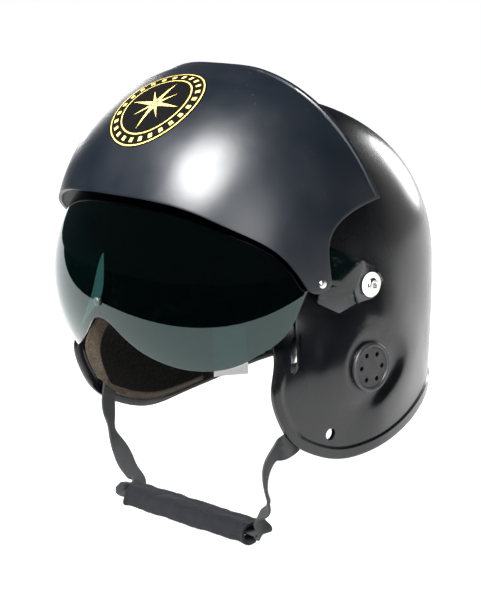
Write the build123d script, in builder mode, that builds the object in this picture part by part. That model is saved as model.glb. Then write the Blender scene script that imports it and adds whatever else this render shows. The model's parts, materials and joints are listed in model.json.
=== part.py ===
from build123d import *
import math
import os

os.makedirs("parts", exist_ok=True)

# Axes: X to the wearer's left, Y to the back, Z up; the origin is the middle of the head.
# Each reach below is measured from the middle named with it.

# Hard shell
shell_half_width = 106.7
shell_front_reach = 109.0
shell_back_reach = 132.0
shell_middle_y = 6.0
waist_level = -10.0
crown_rise = 125.0
crown_lean = 22.0
shell_wall = 3.2
plan_roundness = 2.2
flap_squareness = 8.0
flap_square_drop = 0.5
flap_square_growth = 4
rise_roundness = 2.5
skirt_depth = 120.0
skirt_side_taper = 2.0
skirt_back_taper = 9.0
skirt_front_taper = 4.0
skirt_taper_growth = 2
rim_width = 8.0
rim_rise = 1.3
rim_top_level = -42.0

# Swelling of the shell over each ear
ear_swell = 5.5
ear_swell_y = -6.0
ear_swell_level = -64.0
ear_swell_length = 40.0
ear_swell_height = 32.0

# Ear plate and its ring
ear_y = 8.7
ear_level = -62.0
ear_seat_rise = 5.3
ear_seat = shell_half_width + ear_seat_rise
ear_ring_radius = 17.0
ear_ring_bore = 13.5
ear_ring_height = 2.6
ear_ring_bevel = 1.0
ear_plate_wall = 1.4
ear_plate_gap = 0.05
ear_hole_radius = 1.7
ear_hole_ring = 9.5
ear_hole_count = 6
sound_bore = 11.0

# Hole in each flap for a mask or an oxygen hose clip
flap_hole_y = -22.4
flap_hole_level = -104.4
flap_hole_radius = 4.0

# Visor pivot and cover rivet, in side view
pivot_y = 8.5
pivot_z = -6.0
cover_rivet_y = -40.0
cover_rivet_z = 0.0

# Flat pieces stacked on the pivot, from the shell outwards
spacer_depth = 2.0
spacer_rise = 0.8
spacer_top = shell_half_width + spacer_rise
spacer_radius = 6.5
arm_gap = 0.25
arm_wall = 1.8
bracket_gap = 0.25
bracket_wall = 1.5
bracket_step = 1.7
washer_gap = 0.25
washer_wall = 1.0
washer_radius = 8.4
pivot_pin_radius = 3.2
pivot_head_radius = 5.0
pivot_head_height = 2.6
pivot_head_bore = 1.7
pivot_head_round = 1.8
pivot_tail = 1.5
running_fit = 0.06

# Visor cover, a form of revolution about a line along X
cover_middle_y = -10.0
cover_middle_z = 16.0
cover_standoff = 13.0
cover_side_standoff = 11.3
cover_radius = shell_front_reach + cover_standoff
cover_half_width = shell_half_width + cover_side_standoff
cover_roundness = 2.5
cover_wall = 2.2
lip_width = 2.6
lip_rise = 1.1
boss_radius = 4.6
cover_rivet_radius = 1.6
cover_rivet_head = 3.0
cover_rivet_dome = 1.5
cover_rivet_tail = 0.8
cover_rivet_rim = 0.5

# Round patch on the cover, by its angle above straight ahead
emblem_radius = 37.0
emblem_wall = 0.4
emblem_angle = 52.0

# Tinted lens, a form of revolution about another line along X
lens_middle_y = -38.0
lens_middle_z = -5.0
lens_radius = 97.5
lens_roundness = 2.3
arm_half_height = 7.5

# Knob of the lens, with its nut inside
knob_level = -16.0
knob_radius = 3.1
knob_height = 2.0
knob_edge = 0.6
knob_screw_radius = 1.5
knob_nut_radius = 2.8
knob_nut_height = 2.0
nut_sides = 6
knob_flat = 0.08
knob_way_gap = 0.35

# Padding
pad_gap = 0.3
crown_pad = 11.0
ear_pad = 10.0
pad_setback = 8.0
pad_split_level = -16.0
pad_split_y = 40.0
ear_hollow_radius = 27.0
flap_hole_clearance = 2.5
pivot_pocket = 1.0

# Chin strap and its sleeve
strap_width = 15.0
strap_wall = 1.6
strap_gap = 0.3
strap_rivet_radius = 2.0
strap_rivet_head = 3.6
strap_rivet_height = 1.2
strap_seat = 2.4
strap_anchor_y = -47.0
strap_anchor_level = -90.0
strap_end_above = 9.0
strap_standoff = 1.2
strap_lead = 6.0
strap_room = 4.0
pocket_below = 34.0
sleeve_length = 104.0
sleeve_width = 24.0
sleeve_height = 15.0
sleeve_corner = 5.0
sleeve_y = -53.0
sleeve_z = -175.0
sleeve_turn = 16.0
sleeve_dip = 7.0
strap_in_sleeve = 60.0

# Blank care tag on the neck pad
tag_width = 26.0
tag_height = 36.0
tag_wall = 0.5
tag_y = 42.0
tag_level = -85.0

overrun = 12.0
form_points = 10

# Heights of the shell's sections, as shares of the skirt below the waist and of the rise above it
skirt_shares = (-1.06, -0.88, -0.7, -0.55, -0.4, -0.3, -0.2, 0)
crown_shares = (0.2, 0.4, 0.56, 0.7, 0.8, 0.88, 0.94, 0.975, 0.993)


def ear_bulge(y, level):
    """Extra half width of the shell over the ear."""
    away_y = (y - ear_swell_y) / ear_swell_length
    away_z = (level - ear_swell_level) / ear_swell_height
    return ear_swell * math.exp(-away_y * away_y - away_z * away_z)


def front_roundness(drop):
    """Roundness of the front half in plan, which turns squarer down the flaps."""
    share = min(drop, flap_square_drop) / flap_square_drop
    return plan_roundness + flap_squareness * share**flap_square_growth


def half_ring(level, inset):
    """Points round the left half of the shell's surface at one level, from front to back."""
    height = max(level - waist_level, 0) / (crown_rise - inset)
    drop = max(waist_level - level, 0) / skirt_depth
    taper = drop**skirt_taper_growth
    size = (1 - height**rise_roundness) ** (1 / rise_roundness)
    half_width = (shell_half_width - inset) * size - skirt_side_taper * taper
    front = (shell_front_reach - inset) * size - skirt_front_taper * taper
    back = (shell_back_reach - inset) * size - skirt_back_taper * taper
    middle = shell_middle_y - crown_lean * height * height
    ring = []
    for step in range(2 * form_points + 1):
        turn = math.pi * (step / (2 * form_points) - 1 / 2)
        wide = max(math.cos(turn), 0) ** (2 / plan_roundness)
        deep = abs(math.sin(turn)) ** (2 / plan_roundness)
        reach, roundness = (-front, front_roundness(drop)) if step < form_points else (back, plan_roundness)
        spread = (wide**roundness + deep**roundness) ** (-1 / roundness)
        x = half_width * wide * spread
        y = middle + reach * deep * spread
        x += ear_bulge(y, level) * x / half_width
        ring.append((x, y))
    return ring


def shell_form(inset):
    """A closed form of the shell's surface, moved in by the inset."""
    levels = [waist_level + skirt_depth * share for share in skirt_shares]
    levels += [waist_level + (crown_rise - inset) * share for share in crown_shares]
    with BuildPart() as form:
        for level in levels:
            with BuildSketch(Plane.XY.offset(level)):
                with BuildLine():
                    Spline(*half_ring(level, inset), tangents=[(1, 0), (-1, 0)])
                    mirror(about=Plane.YZ)
                make_face()
        loft()
    return form.part


def shell_side(y, level, inset):
    """Half width of the shell's surface at a place in side view, below the waist."""
    drop = (waist_level - level) / skirt_depth
    taper = drop**skirt_taper_growth
    half_width = shell_half_width - inset - skirt_side_taper * taper
    reach, roundness = shell_back_reach - inset - skirt_back_taper * taper, plan_roundness
    if y < shell_middle_y:
        reach, roundness = shell_front_reach - inset - skirt_front_taper * taper, front_roundness(drop)
    along = abs(y - shell_middle_y) / reach
    share = (1 - along**roundness) ** (1 / roundness)
    return (half_width + ear_bulge(y, level)) * share


def round_form(half_width, radius, roundness, middle_y, middle_z):
    """A closed form of revolution about a line along X, with flattened sides."""
    edge = []
    for step in range(2 * form_points + 1):
        turn = math.pi * (step / (2 * form_points) - 1 / 2)
        c, s = max(math.cos(turn), 0), math.sin(turn)
        x = half_width * math.copysign(abs(s) ** (2 / roundness), s)
        edge.append((x, -radius * c ** (2 / roundness)))
    edge[0] = (-half_width, 0)
    edge[-1] = (half_width, 0)
    middle = Plane(origin=(0, middle_y, middle_z), x_dir=(1, 0, 0), z_dir=(0, 0, 1))
    with BuildPart() as form:
        with BuildSketch(middle):
            with BuildLine():
                Spline(*edge, tangents=[(0, -1), (0, 1)])
                Line(edge[-1], edge[0])
            make_face()
        revolve(axis=Axis((0, middle_y, middle_z), (1, 0, 0)))
    return form.part


def carried_across(sketch):
    """A side view outline carried across the whole helmet."""
    with BuildPart() as block:
        add(sketch)
        extrude(amount=2 * across, dir=(1, 0, 0))
    return block.part


def side_plane(x, y, z, side):
    """A plane that faces outwards on one side of the helmet, at a place in side view."""
    return Plane(origin=(side * x, y, z), x_dir=(0, 1, 0), z_dir=(side, 0, 0))


def disc_along(plane, radius, length):
    """A plain round bar that stands on a plane."""
    with BuildPart() as bar:
        with BuildSketch(plane):
            Circle(radius)
        extrude(amount=length)
    return bar.part


def save(piece, name):
    """Labels one sub-part and writes it."""
    piece.label = name
    export_step(piece, "parts/" + name + ".step")


# Flat stack on the pivot, worked out from the gaps and walls
arm_inner = spacer_top + arm_gap
arm_outer = arm_inner + arm_wall
ear_inner = arm_outer + bracket_gap
ear_outer = ear_inner + bracket_wall
wing_inner = ear_inner + bracket_step
wing_outer = ear_outer + bracket_step
washer_inner = ear_outer + washer_gap
washer_outer = washer_inner + washer_wall
pivot_hole_radius = pivot_pin_radius + running_fit
across = shell_half_width + overrun + overrun
side_start = Plane.YZ.offset(-across)
sides = (("left", 1), ("right", -1))

# Helmet in side view, below its crown: brow edge, face edge, flap, and the edge that climbs to the nape
brow_y, brow_level = -92.0, 51.0
face_y, face_level = -64.0, 18.0
face_low_y, face_low_level = -61.5, -18.0
flap_front_y, flap_front_level = -65.0, -45.0
flap_lobe_y, flap_lobe_level = -73.5, -68.0
flap_front_low_y, flap_front_low_level = -67.5, -89.0
flap_corner_y, flap_corner_level = -56.6, -104.5
flap_low_front_y, flap_low_front_level = -36.0, -116.5
flap_bottom_y, flap_bottom_level = -13.4, -122.7
flap_rear_y, flap_rear_level = 28.6, -117.9
neck_y, neck_level = 60.0, -108.5
nape_y, nape_level = 96.0, -95.0
back_edge_y, back_edge_level = 150.0, -82.0
roof_level = 140.0
face_front_y = -140.0

lower_edge = [
    (brow_y, brow_level),
    (face_y, face_level),
    (face_low_y, face_low_level),
    (flap_front_y, flap_front_level),
    (flap_lobe_y, flap_lobe_level),
    (flap_front_low_y, flap_front_low_level),
    (flap_corner_y, flap_corner_level),
    (flap_low_front_y, flap_low_front_level),
    (flap_bottom_y, flap_bottom_level),
    (flap_rear_y, flap_rear_level),
    (neck_y, neck_level),
    (nape_y, nape_level),
    (back_edge_y, back_edge_level),
]


def helmet_view(setback):
    """The helmet in side view, with its lower edge moved in by the setback."""
    last = len(lower_edge) - 1
    edge = []
    for place, (y, z) in enumerate(lower_edge):
        before_y, before_z = lower_edge[max(place - 1, 0)]
        after_y, after_z = lower_edge[min(place + 1, last)]
        run = math.hypot(after_y - before_y, after_z - before_z)
        edge.append((y - setback * (after_z - before_z) / run, z + setback * (after_y - before_y) / run))
    front_y, front_level = edge[0]
    rear_y, rear_level = edge[-1]
    with BuildSketch(side_start) as view:
        with BuildLine():
            Spline(*edge)
            Polyline(
                (rear_y, rear_level),
                (rear_y, roof_level),
                (face_front_y, roof_level),
                (face_front_y, front_level),
                (front_y, front_level),
            )
        make_face()
    return view


with BuildSketch(side_start) as rim_region:
    with Locations((0, rim_top_level - across)):
        Rectangle(4 * across, 2 * across)
    add(helmet_view(rim_width).sketch_local, mode=Mode.SUBTRACT)

outer_form = shell_form(0)
inner_form = shell_form(shell_wall)

# Strap anchors: the shell's inner face at each anchor, and the direction square to it
anchor_x = shell_side(strap_anchor_y, strap_anchor_level, shell_wall)
anchor_slope = (
    shell_side(strap_anchor_y + strap_width, strap_anchor_level, shell_wall)
    - shell_side(strap_anchor_y - strap_width, strap_anchor_level, shell_wall)
) / (strap_width + strap_width)
anchor_normal = Vector(1, -anchor_slope, 0).normalized()
anchor_across = Vector(anchor_slope, 1, 0).normalized()
anchor_wall = Vector(anchor_x, strap_anchor_y, strap_anchor_level)

# Flap holes stand square to the shell at their place in side view
hole_x = shell_side(flap_hole_y, flap_hole_level, 0)
hole_slope_y = (
    shell_side(flap_hole_y + flap_hole_radius, flap_hole_level, 0)
    - shell_side(flap_hole_y - flap_hole_radius, flap_hole_level, 0)
) / (flap_hole_radius + flap_hole_radius)
hole_slope_z = (
    shell_side(flap_hole_y, flap_hole_level + flap_hole_radius, 0)
    - shell_side(flap_hole_y, flap_hole_level - flap_hole_radius, 0)
) / (flap_hole_radius + flap_hole_radius)
hole_normal = Vector(1, -hole_slope_y, -hole_slope_z).normalized()


def on_side(vector, side):
    """A place or direction of the left side, or its mirror image."""
    return Vector(side * vector.X, vector.Y, vector.Z)


def anchor_plane(side, rise):
    """A plane on a strap anchor that faces outwards, raised along the anchor's own direction."""
    origin = on_side(anchor_wall + anchor_normal * rise, side)
    return Plane(origin=origin, x_dir=(0, 0, 1), z_dir=on_side(anchor_normal, side))


def hole_plane(side):
    """A plane outside a flap hole that faces outwards, square to the shell."""
    origin = on_side(Vector(hole_x, flap_hole_y, flap_hole_level) + hole_normal * overrun, side)
    return Plane(origin=origin, x_dir=(0, 1, 0), z_dir=on_side(hole_normal, side))


# Hard shell with its flared rim, ear seats, pivot bores, sound bores, flap holes and strap rivet holes
with BuildPart() as rim_form:
    add(shell_form(-rim_rise))
    add(carried_across(rim_region.sketch), mode=Mode.INTERSECT)

with BuildPart() as helmet_shell:
    add(outer_form)
    for name, side in sides:
        with BuildSketch(side_plane(ear_seat, ear_y, ear_level, side)):
            Circle(ear_ring_radius)
        extrude(amount=-(overrun + shell_wall))
    add(rim_form.part)
    add(carried_across(helmet_view(0).sketch), mode=Mode.INTERSECT)
    add(inner_form, mode=Mode.SUBTRACT)
    for name, side in sides:
        with BuildSketch(side_plane(spacer_top, pivot_y, pivot_z, side)):
            Circle(spacer_radius)
        extrude(amount=-spacer_depth, mode=Mode.SUBTRACT)
        with BuildSketch(side_plane(spacer_top, pivot_y, pivot_z, side)):
            Circle(pivot_pin_radius)
        extrude(amount=-overrun, mode=Mode.SUBTRACT)
        with BuildSketch(side_plane(ear_seat, ear_y, ear_level, side)):
            Circle(sound_bore)
        extrude(amount=-(overrun + overrun), mode=Mode.SUBTRACT)
        with BuildSketch(hole_plane(side)):
            Circle(flap_hole_radius)
        extrude(amount=-(overrun + overrun), mode=Mode.SUBTRACT)
        with BuildSketch(anchor_plane(side, strap_seat)):
            Circle(strap_rivet_radius)
        extrude(amount=-overrun, mode=Mode.SUBTRACT)

save(helmet_shell.part, "helmet_shell")

# Ear rings and six-hole ear plates
for name, side in sides:
    seat = side_plane(ear_seat, ear_y, ear_level, side)
    with BuildPart() as ear_ring:
        with BuildSketch(seat):
            Circle(ear_ring_radius)
            Circle(ear_ring_bore, mode=Mode.SUBTRACT)
        extrude(amount=ear_ring_height)
        top = ear_ring.faces().sort_by(Axis((0, 0, 0), (side, 0, 0)))[-1]
        chamfer(top.edges(), ear_ring_bevel)
    save(ear_ring.part, name + "_ear_ring")

    with BuildPart() as ear_plate:
        with BuildSketch(seat):
            Circle(ear_ring_bore - ear_plate_gap)
            with PolarLocations(ear_hole_ring, ear_hole_count):
                Circle(ear_hole_radius, mode=Mode.SUBTRACT)
        extrude(amount=ear_plate_wall)
    save(ear_plate.part, name + "_ear_plate")

# Place of the lens's knob, and how far its outer face reaches from the pivots
lens_place = (lens_roundness, lens_middle_y, lens_middle_z)
knob_tilt = math.asin((knob_level - lens_middle_z) / lens_radius)
knob_way = Vector(0, -math.cos(knob_tilt), math.sin(knob_tilt))
lens_middle = Vector(0, lens_middle_y, lens_middle_z)
knob_plane = Plane(origin=lens_middle + knob_way * (lens_radius - knob_flat), x_dir=(1, 0, 0), z_dir=knob_way)
nut_plane = knob_plane.offset(-arm_wall)
knob_top = knob_plane.origin + knob_way * knob_height
knob_reach = math.hypot(knob_top.Y - pivot_y, knob_top.Z - pivot_z)

# Visor cover in side view: front edge, rounded tab round its rivet, hollow over the pivot, raised rear edge
cover_front_y, cover_front_z = -150.0, 56.5
cover_brow_y, cover_brow_z = -125.6, 55.2
cover_cheek_y, cover_cheek_z = -102.0, 41.3
cover_temple_y, cover_temple_z = -74.0, 23.6
cover_tab_front_y, cover_tab_front_z = -51.0, -2.6
tab_bottom_y, tab_bottom_z = -42.4, -6.3
tab_rear_y, tab_rear_z = -32.0, -1.0
hollow_low_y, hollow_low_z = -34.8, 14.1
hollow_mid_y, hollow_mid_z = -33.6, 29.5
hollow_top_y, hollow_top_z = -15.5, 44.5
cover_corner_y, cover_corner_z = 12.2, 51.9
cover_crown_y, cover_crown_z = -29.0, 144.0

with BuildSketch(side_start) as cover_view:
    with BuildLine():
        Spline(
            (cover_front_y, cover_front_z),
            (cover_brow_y, cover_brow_z),
            (cover_cheek_y, cover_cheek_z),
            (cover_temple_y, cover_temple_z),
            (cover_tab_front_y, cover_tab_front_z),
        )
        ThreePointArc(
            (cover_tab_front_y, cover_tab_front_z),
            (tab_bottom_y, tab_bottom_z),
            (tab_rear_y, tab_rear_z),
        )
        Spline(
            (tab_rear_y, tab_rear_z),
            (hollow_low_y, hollow_low_z),
            (hollow_mid_y, hollow_mid_z),
            (hollow_top_y, hollow_top_z),
            (cover_corner_y, cover_corner_z),
        )
        Polyline(
            (cover_corner_y, cover_corner_z),
            (cover_crown_y, cover_crown_z),
            (cover_front_y, cover_crown_z),
            (cover_front_y, cover_front_z),
        )
    make_face()

lip_slope = math.atan2(cover_crown_z - cover_corner_z, cover_crown_y - cover_corner_y)
lip_shift_y = -lip_width * math.sin(lip_slope)
lip_shift_z = lip_width * math.cos(lip_slope)
with BuildSketch(side_start) as lip_view:
    with BuildLine():
        Polyline(
            (cover_corner_y, cover_corner_z),
            (cover_crown_y, cover_crown_z),
            (cover_crown_y + lip_shift_y, cover_crown_z + lip_shift_z),
            (cover_corner_y + lip_shift_y, cover_corner_z + lip_shift_z),
            close=True,
        )
    make_face()

cover_place = (cover_roundness, cover_middle_y, cover_middle_z)
cover_outer = round_form(cover_half_width, cover_radius, *cover_place)
cover_inner = round_form(cover_half_width - cover_wall, cover_radius - cover_wall, *cover_place)
cover_raised = round_form(cover_half_width + lip_rise, cover_radius + lip_rise, *cover_place)
patch_form = round_form(cover_half_width + emblem_wall, cover_radius + emblem_wall, *cover_place)
cover_rivet_reach = math.hypot(cover_rivet_y - cover_middle_y, cover_rivet_z - cover_middle_z)
rivet_share = (cover_rivet_head + cover_rivet_reach) / cover_radius
cover_rivet_seat = cover_half_width * (1 - rivet_share**cover_roundness) ** (1 / cover_roundness)

with BuildPart() as cover_lip:
    add(cover_raised)
    add(carried_across(lip_view.sketch), mode=Mode.INTERSECT)

with BuildPart() as visor_cover:
    add(cover_outer)
    add(carried_across(cover_view.sketch), mode=Mode.INTERSECT)
    add(cover_lip.part)
    add(cover_inner, mode=Mode.SUBTRACT)
    for name, side in sides:
        with BuildSketch(side_plane(wing_outer, cover_rivet_y, cover_rivet_z, side)):
            Circle(boss_radius)
        extrude(amount=cover_rivet_seat - wing_outer)
        with BuildSketch(side_plane(wing_outer, cover_rivet_y, cover_rivet_z, side)):
            Circle(cover_rivet_radius)
        extrude(amount=overrun, mode=Mode.SUBTRACT)
        with BuildSketch(side_plane(cover_rivet_seat, cover_rivet_y, cover_rivet_z, side)):
            Circle(cover_rivet_head)
        extrude(amount=overrun, mode=Mode.SUBTRACT)
    with BuildSketch(Plane.YZ.offset(-knob_radius - knob_way_gap)):
        with Locations((pivot_y, pivot_z)):
            Circle(knob_reach + knob_way_gap)
    extrude(amount=2 * (knob_radius + knob_way_gap), mode=Mode.SUBTRACT)
save(visor_cover.part, "visor_cover")

# Round patch on the cover's middle line
patch_rise = math.radians(emblem_angle)
patch_plane = Plane(
    origin=(0, cover_middle_y, cover_middle_z),
    x_dir=(1, 0, 0),
    z_dir=(0, -math.cos(patch_rise), math.sin(patch_rise)),
)
with BuildPart() as emblem_patch:
    add(patch_form)
    add(disc_along(patch_plane, emblem_radius, cover_radius + overrun), mode=Mode.INTERSECT)
    add(cover_outer, mode=Mode.SUBTRACT)
save(emblem_patch.part, "emblem_patch")

# Folded clear bracket, in side view: ear round the pivot, riser along the fold, wing, and leaning flange
fold_top_y, fold_top_z = 1.6, 10.5
fold_mid_y, fold_mid_z = -7.2, -9.3
fold_low_y, fold_low_z = -2.9, -17.2
ear_low_y, ear_low_z = 12.0, -15.5
ear_back_y, ear_back_z = 20.5, -4.2
ear_high_y, ear_high_z = 14.7, 4.5
wing_front_y, wing_front_low_z, wing_front_high_z = -43.5, 0.0, 12.0
wing_crest_y, wing_crest_z = -30.0, 23.0
flange_top_z = -7.0
flange_front_y, flange_front_z = -39.7, -13.4
flange_low_y, flange_low_z = -18.0, -22.9
flange_lean = 4.0
riser_width = 1.6

fold_line = [(fold_top_y, fold_top_z), (fold_mid_y, fold_mid_z), (fold_low_y, fold_low_z)]
fold_front = [(fold_low_y - riser_width, fold_low_z), (fold_mid_y - riser_width, fold_mid_z)]
fold_front += [(fold_top_y - riser_width, fold_top_z)]
wing_edge = fold_line + [
    (flange_low_y, flange_low_z),
    (flange_front_y, flange_front_z),
    (flange_front_y, flange_top_z),
    (wing_front_y, wing_front_low_z),
    (wing_front_y, wing_front_high_z),
    (wing_crest_y, wing_crest_z),
]
ear_edge = fold_line + [(ear_low_y, ear_low_z), (ear_back_y, ear_back_z), (ear_high_y, ear_high_z)]


def side_plate(edge, start, wall):
    """A flat plate on the left side, from a side view outline."""
    with BuildPart() as plate:
        with BuildSketch(Plane.YZ.offset(start)):
            with BuildLine():
                Polyline(*edge, close=True)
            make_face()
        extrude(amount=wall)
    return plate.part


with BuildPart() as wing_bend:
    with BuildSketch(Plane.XZ.offset(-overrun)):
        with BuildLine():
            Polyline(
                (wing_outer, wing_crest_z + overrun),
                (wing_outer, flange_top_z),
                (wing_outer - flange_lean, flange_low_z),
                (wing_inner - flange_lean, flange_low_z),
                (wing_inner, flange_top_z),
                (wing_inner, wing_crest_z + overrun),
                close=True,
            )
        make_face()
    extrude(amount=-wing_front_y + overrun + overrun)
    add(side_plate(wing_edge, ear_inner - overrun, overrun + overrun), mode=Mode.INTERSECT)

with BuildPart() as left_bracket:
    add(wing_bend.part)
    add(side_plate(ear_edge, ear_inner, bracket_wall))
    add(side_plate(fold_line + fold_front, ear_inner, wing_outer - ear_inner))
    with BuildSketch(side_plane(ear_inner, pivot_y, pivot_z, 1)):
        Circle(pivot_hole_radius)
    extrude(amount=overrun, both=True, mode=Mode.SUBTRACT)
    with BuildSketch(side_plane(wing_inner, cover_rivet_y, cover_rivet_z, 1)):
        Circle(cover_rivet_radius)
    extrude(amount=overrun, both=True, mode=Mode.SUBTRACT)
save(left_bracket.part, "left_bracket")
save(mirror(left_bracket.part, about=Plane.YZ), "right_bracket")

# Spacers, washers and hollow rivets of the pivots
for name, side in sides:
    with BuildPart() as pivot_spacer:
        with BuildSketch(side_plane(spacer_top - spacer_depth, pivot_y, pivot_z, side)):
            Circle(spacer_radius)
            Circle(pivot_pin_radius, mode=Mode.SUBTRACT)
        extrude(amount=spacer_depth)
    save(pivot_spacer.part, name + "_pivot_spacer")

    with BuildPart() as pivot_washer:
        with BuildSketch(side_plane(washer_inner, pivot_y, pivot_z, side)):
            Circle(washer_radius)
            Circle(pivot_pin_radius, mode=Mode.SUBTRACT)
        extrude(amount=washer_wall)
    save(pivot_washer.part, name + "_pivot_washer")

    pin_start = shell_half_width - shell_wall - pad_gap - pivot_tail
    with BuildPart() as pivot_rivet:
        with BuildSketch(side_plane(pin_start, pivot_y, pivot_z, side)):
            Circle(pivot_head_radius)
        extrude(amount=pivot_tail)
        with BuildSketch(side_plane(pin_start, pivot_y, pivot_z, side)):
            Circle(pivot_pin_radius)
        extrude(amount=washer_outer - pin_start)
        with BuildSketch(side_plane(washer_outer, pivot_y, pivot_z, side)):
            Circle(pivot_head_radius)
        extrude(amount=pivot_head_height)
        head = pivot_rivet.faces().sort_by(Axis((0, 0, 0), (side, 0, 0)))[-1]
        fillet(head.edges(), pivot_head_round)
        with BuildSketch(side_plane(washer_outer + pivot_head_height, pivot_y, pivot_z, side)):
            Circle(pivot_head_bore)
        extrude(amount=-pivot_head_height, mode=Mode.SUBTRACT)
    save(pivot_rivet.part, name + "_pivot_rivet")

# Small domed rivets that hold the cover's tabs to the brackets
with BuildPart() as cover_rivets:
    for name, side in sides:
        with BuildSketch(side_plane(wing_inner - cover_rivet_tail, cover_rivet_y, cover_rivet_z, side)):
            Circle(cover_rivet_head)
        extrude(amount=cover_rivet_tail)
        with BuildSketch(side_plane(wing_inner, cover_rivet_y, cover_rivet_z, side)):
            Circle(cover_rivet_radius)
        extrude(amount=cover_rivet_seat - wing_inner)
        with BuildSketch(side_plane(cover_rivet_seat, cover_rivet_y, cover_rivet_z, side)):
            Circle(cover_rivet_head)
        extrude(amount=cover_rivet_dome + cover_rivet_rim)
        head = cover_rivets.faces().sort_by(Axis((0, 0, 0), (side, 0, 0)))[-1]
        fillet(head.edges(), cover_rivet_dome)
save(cover_rivets.part, "cover_rivets")

# Tinted lens: side view for its upper and rear edges, front view for its lower edge with the nose notch
lens_cheek_x, lens_cheek_y, lens_cheek_z = 97.4, -74.2, -43.9
lens_jaw_y, lens_jaw_z = -65.8, -37.6
lens_side_y, lens_side_z = -58.4, -28.0
lens_rear_y, lens_rear_z = -51.2, -12.6
lens_end_y, lens_end_z = -47.3, -5.1
arm_start_y, arm_start_z = -42.0, 3.0
lens_top_front_y, lens_top_front_z = -115.0, 55.5
lens_top_mid_y, lens_top_mid_z = -75.0, 33.5
lens_top_rear_y, lens_top_rear_z = -54.0, 17.0
lens_under_z = -100.0
notch_z = -27.0
notch_side_x, notch_side_z = 7.5, -29.0
nose_x, nose_z = 17.0, -36.0
lobe_front_x, lobe_front_z = 30.5, -46.4
lobe_low_x, lobe_low_z = 44.0, -53.0
lobe_bottom_x, lobe_bottom_z = 66.0, -57.4
lobe_rear_x, lobe_rear_z = 84.0, -53.6

with BuildSketch(side_start) as lens_view:
    with BuildLine():
        Spline(
            (lens_cheek_y, lens_cheek_z),
            (lens_jaw_y, lens_jaw_z),
            (lens_side_y, lens_side_z),
            (lens_rear_y, lens_rear_z),
            (lens_end_y, lens_end_z),
        )
        Polyline(
            (lens_end_y, lens_end_z),
            (arm_start_y, arm_start_z - arm_half_height),
            (arm_start_y, arm_start_z + arm_half_height),
            (lens_top_rear_y, lens_top_rear_z),
            (lens_top_mid_y, lens_top_mid_z),
            (lens_top_front_y, lens_top_front_z),
            (cover_front_y, lens_top_front_z),
            (cover_front_y, lens_under_z),
            (lens_cheek_y, lens_under_z),
            (lens_cheek_y, lens_cheek_z),
        )
    make_face()

lens_lower = [
    (notch_side_x, notch_side_z),
    (nose_x, nose_z),
    (lobe_front_x, lobe_front_z),
    (lobe_low_x, lobe_low_z),
    (lobe_bottom_x, lobe_bottom_z),
    (lobe_rear_x, lobe_rear_z),
    (lens_cheek_x, lens_cheek_z),
]
lens_lower_right = [(-x, z) for x, z in reversed(lens_lower)]
with BuildPart() as lens_cutter:
    with BuildSketch(Plane.XZ.offset(-lens_cheek_y)):
        with BuildLine():
            Spline(*lens_lower_right, (0, notch_z), *lens_lower)
            Polyline(
                (lens_cheek_x, lens_cheek_z),
                (lens_cheek_x, lens_under_z),
                (-lens_cheek_x, lens_under_z),
                (-lens_cheek_x, lens_cheek_z),
            )
        make_face()
    extrude(amount=lens_radius)

with BuildPart() as tinted_lens:
    add(round_form(arm_outer, lens_radius, *lens_place))
    add(round_form(arm_inner, lens_radius - arm_wall, *lens_place), mode=Mode.SUBTRACT)
    add(carried_across(lens_view.sketch), mode=Mode.INTERSECT)
    add(lens_cutter.part, mode=Mode.SUBTRACT)
    for start in (arm_inner, -arm_outer):
        with BuildSketch(Plane.YZ.offset(start)):
            with Locations((pivot_y, pivot_z), (arm_start_y, arm_start_z)):
                Circle(arm_half_height)
            make_hull()
            with Locations((pivot_y, pivot_z)):
                Circle(pivot_hole_radius, mode=Mode.SUBTRACT)
        extrude(amount=arm_wall)
    with BuildSketch(knob_plane):
        Circle(knob_screw_radius)
    extrude(amount=overrun, both=True, mode=Mode.SUBTRACT)
    with BuildSketch(knob_plane):
        Circle(knob_radius)
    extrude(amount=overrun, mode=Mode.SUBTRACT)
save(tinted_lens.part, "tinted_lens")

with BuildPart() as lens_knob:
    with BuildSketch(knob_plane):
        Circle(knob_radius)
    extrude(amount=knob_height)
    chamfer(lens_knob.faces().sort_by(Axis.Y)[0].edges(), knob_edge)
    with BuildSketch(knob_plane):
        Circle(knob_screw_radius)
    extrude(amount=-(arm_wall + knob_nut_height))
save(lens_knob.part, "lens_knob")

with BuildPart() as knob_nut:
    with BuildSketch(nut_plane):
        RegularPolygon(knob_nut_radius, nut_sides)
        Circle(knob_screw_radius, mode=Mode.SUBTRACT)
    extrude(amount=-knob_nut_height)
save(knob_nut.part, "knob_nut")

# Padding: crown lining, two ear pads, neck pad, and the blank care tag on the neck pad
pad_face = shell_wall + pad_gap
pad_form = shell_form(pad_face)
pad_inner_form = shell_form(pad_face + ear_pad)


def pad_region(middle_y, middle_z, length=2 * across):
    """The part of the padding's side view that lies in one rectangle."""
    with BuildSketch(side_start) as region:
        add(helmet_view(pad_setback).sketch_local)
        with Locations((middle_y, middle_z)):
            Rectangle(length, 2 * across, mode=Mode.INTERSECT)
    return carried_across(region.sketch)


with BuildPart() as crown_lining:
    add(pad_form)
    add(shell_form(pad_face + crown_pad), mode=Mode.SUBTRACT)
    add(pad_region(0, pad_split_level + across, 4 * across), mode=Mode.INTERSECT)
    for name, side in sides:
        with BuildSketch(side_plane(spacer_top, pivot_y, pivot_z, side)):
            Circle(pivot_head_radius + pivot_pocket)
        extrude(amount=-(overrun + overrun), mode=Mode.SUBTRACT)
save(crown_lining.part, "crown_lining")

side_level = pad_split_level - pad_gap - across
with BuildPart() as neck_pad:
    add(pad_form)
    add(pad_inner_form, mode=Mode.SUBTRACT)
    add(pad_region(pad_split_y + pad_gap + across, side_level), mode=Mode.INTERSECT)
save(neck_pad.part, "neck_pad")

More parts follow.
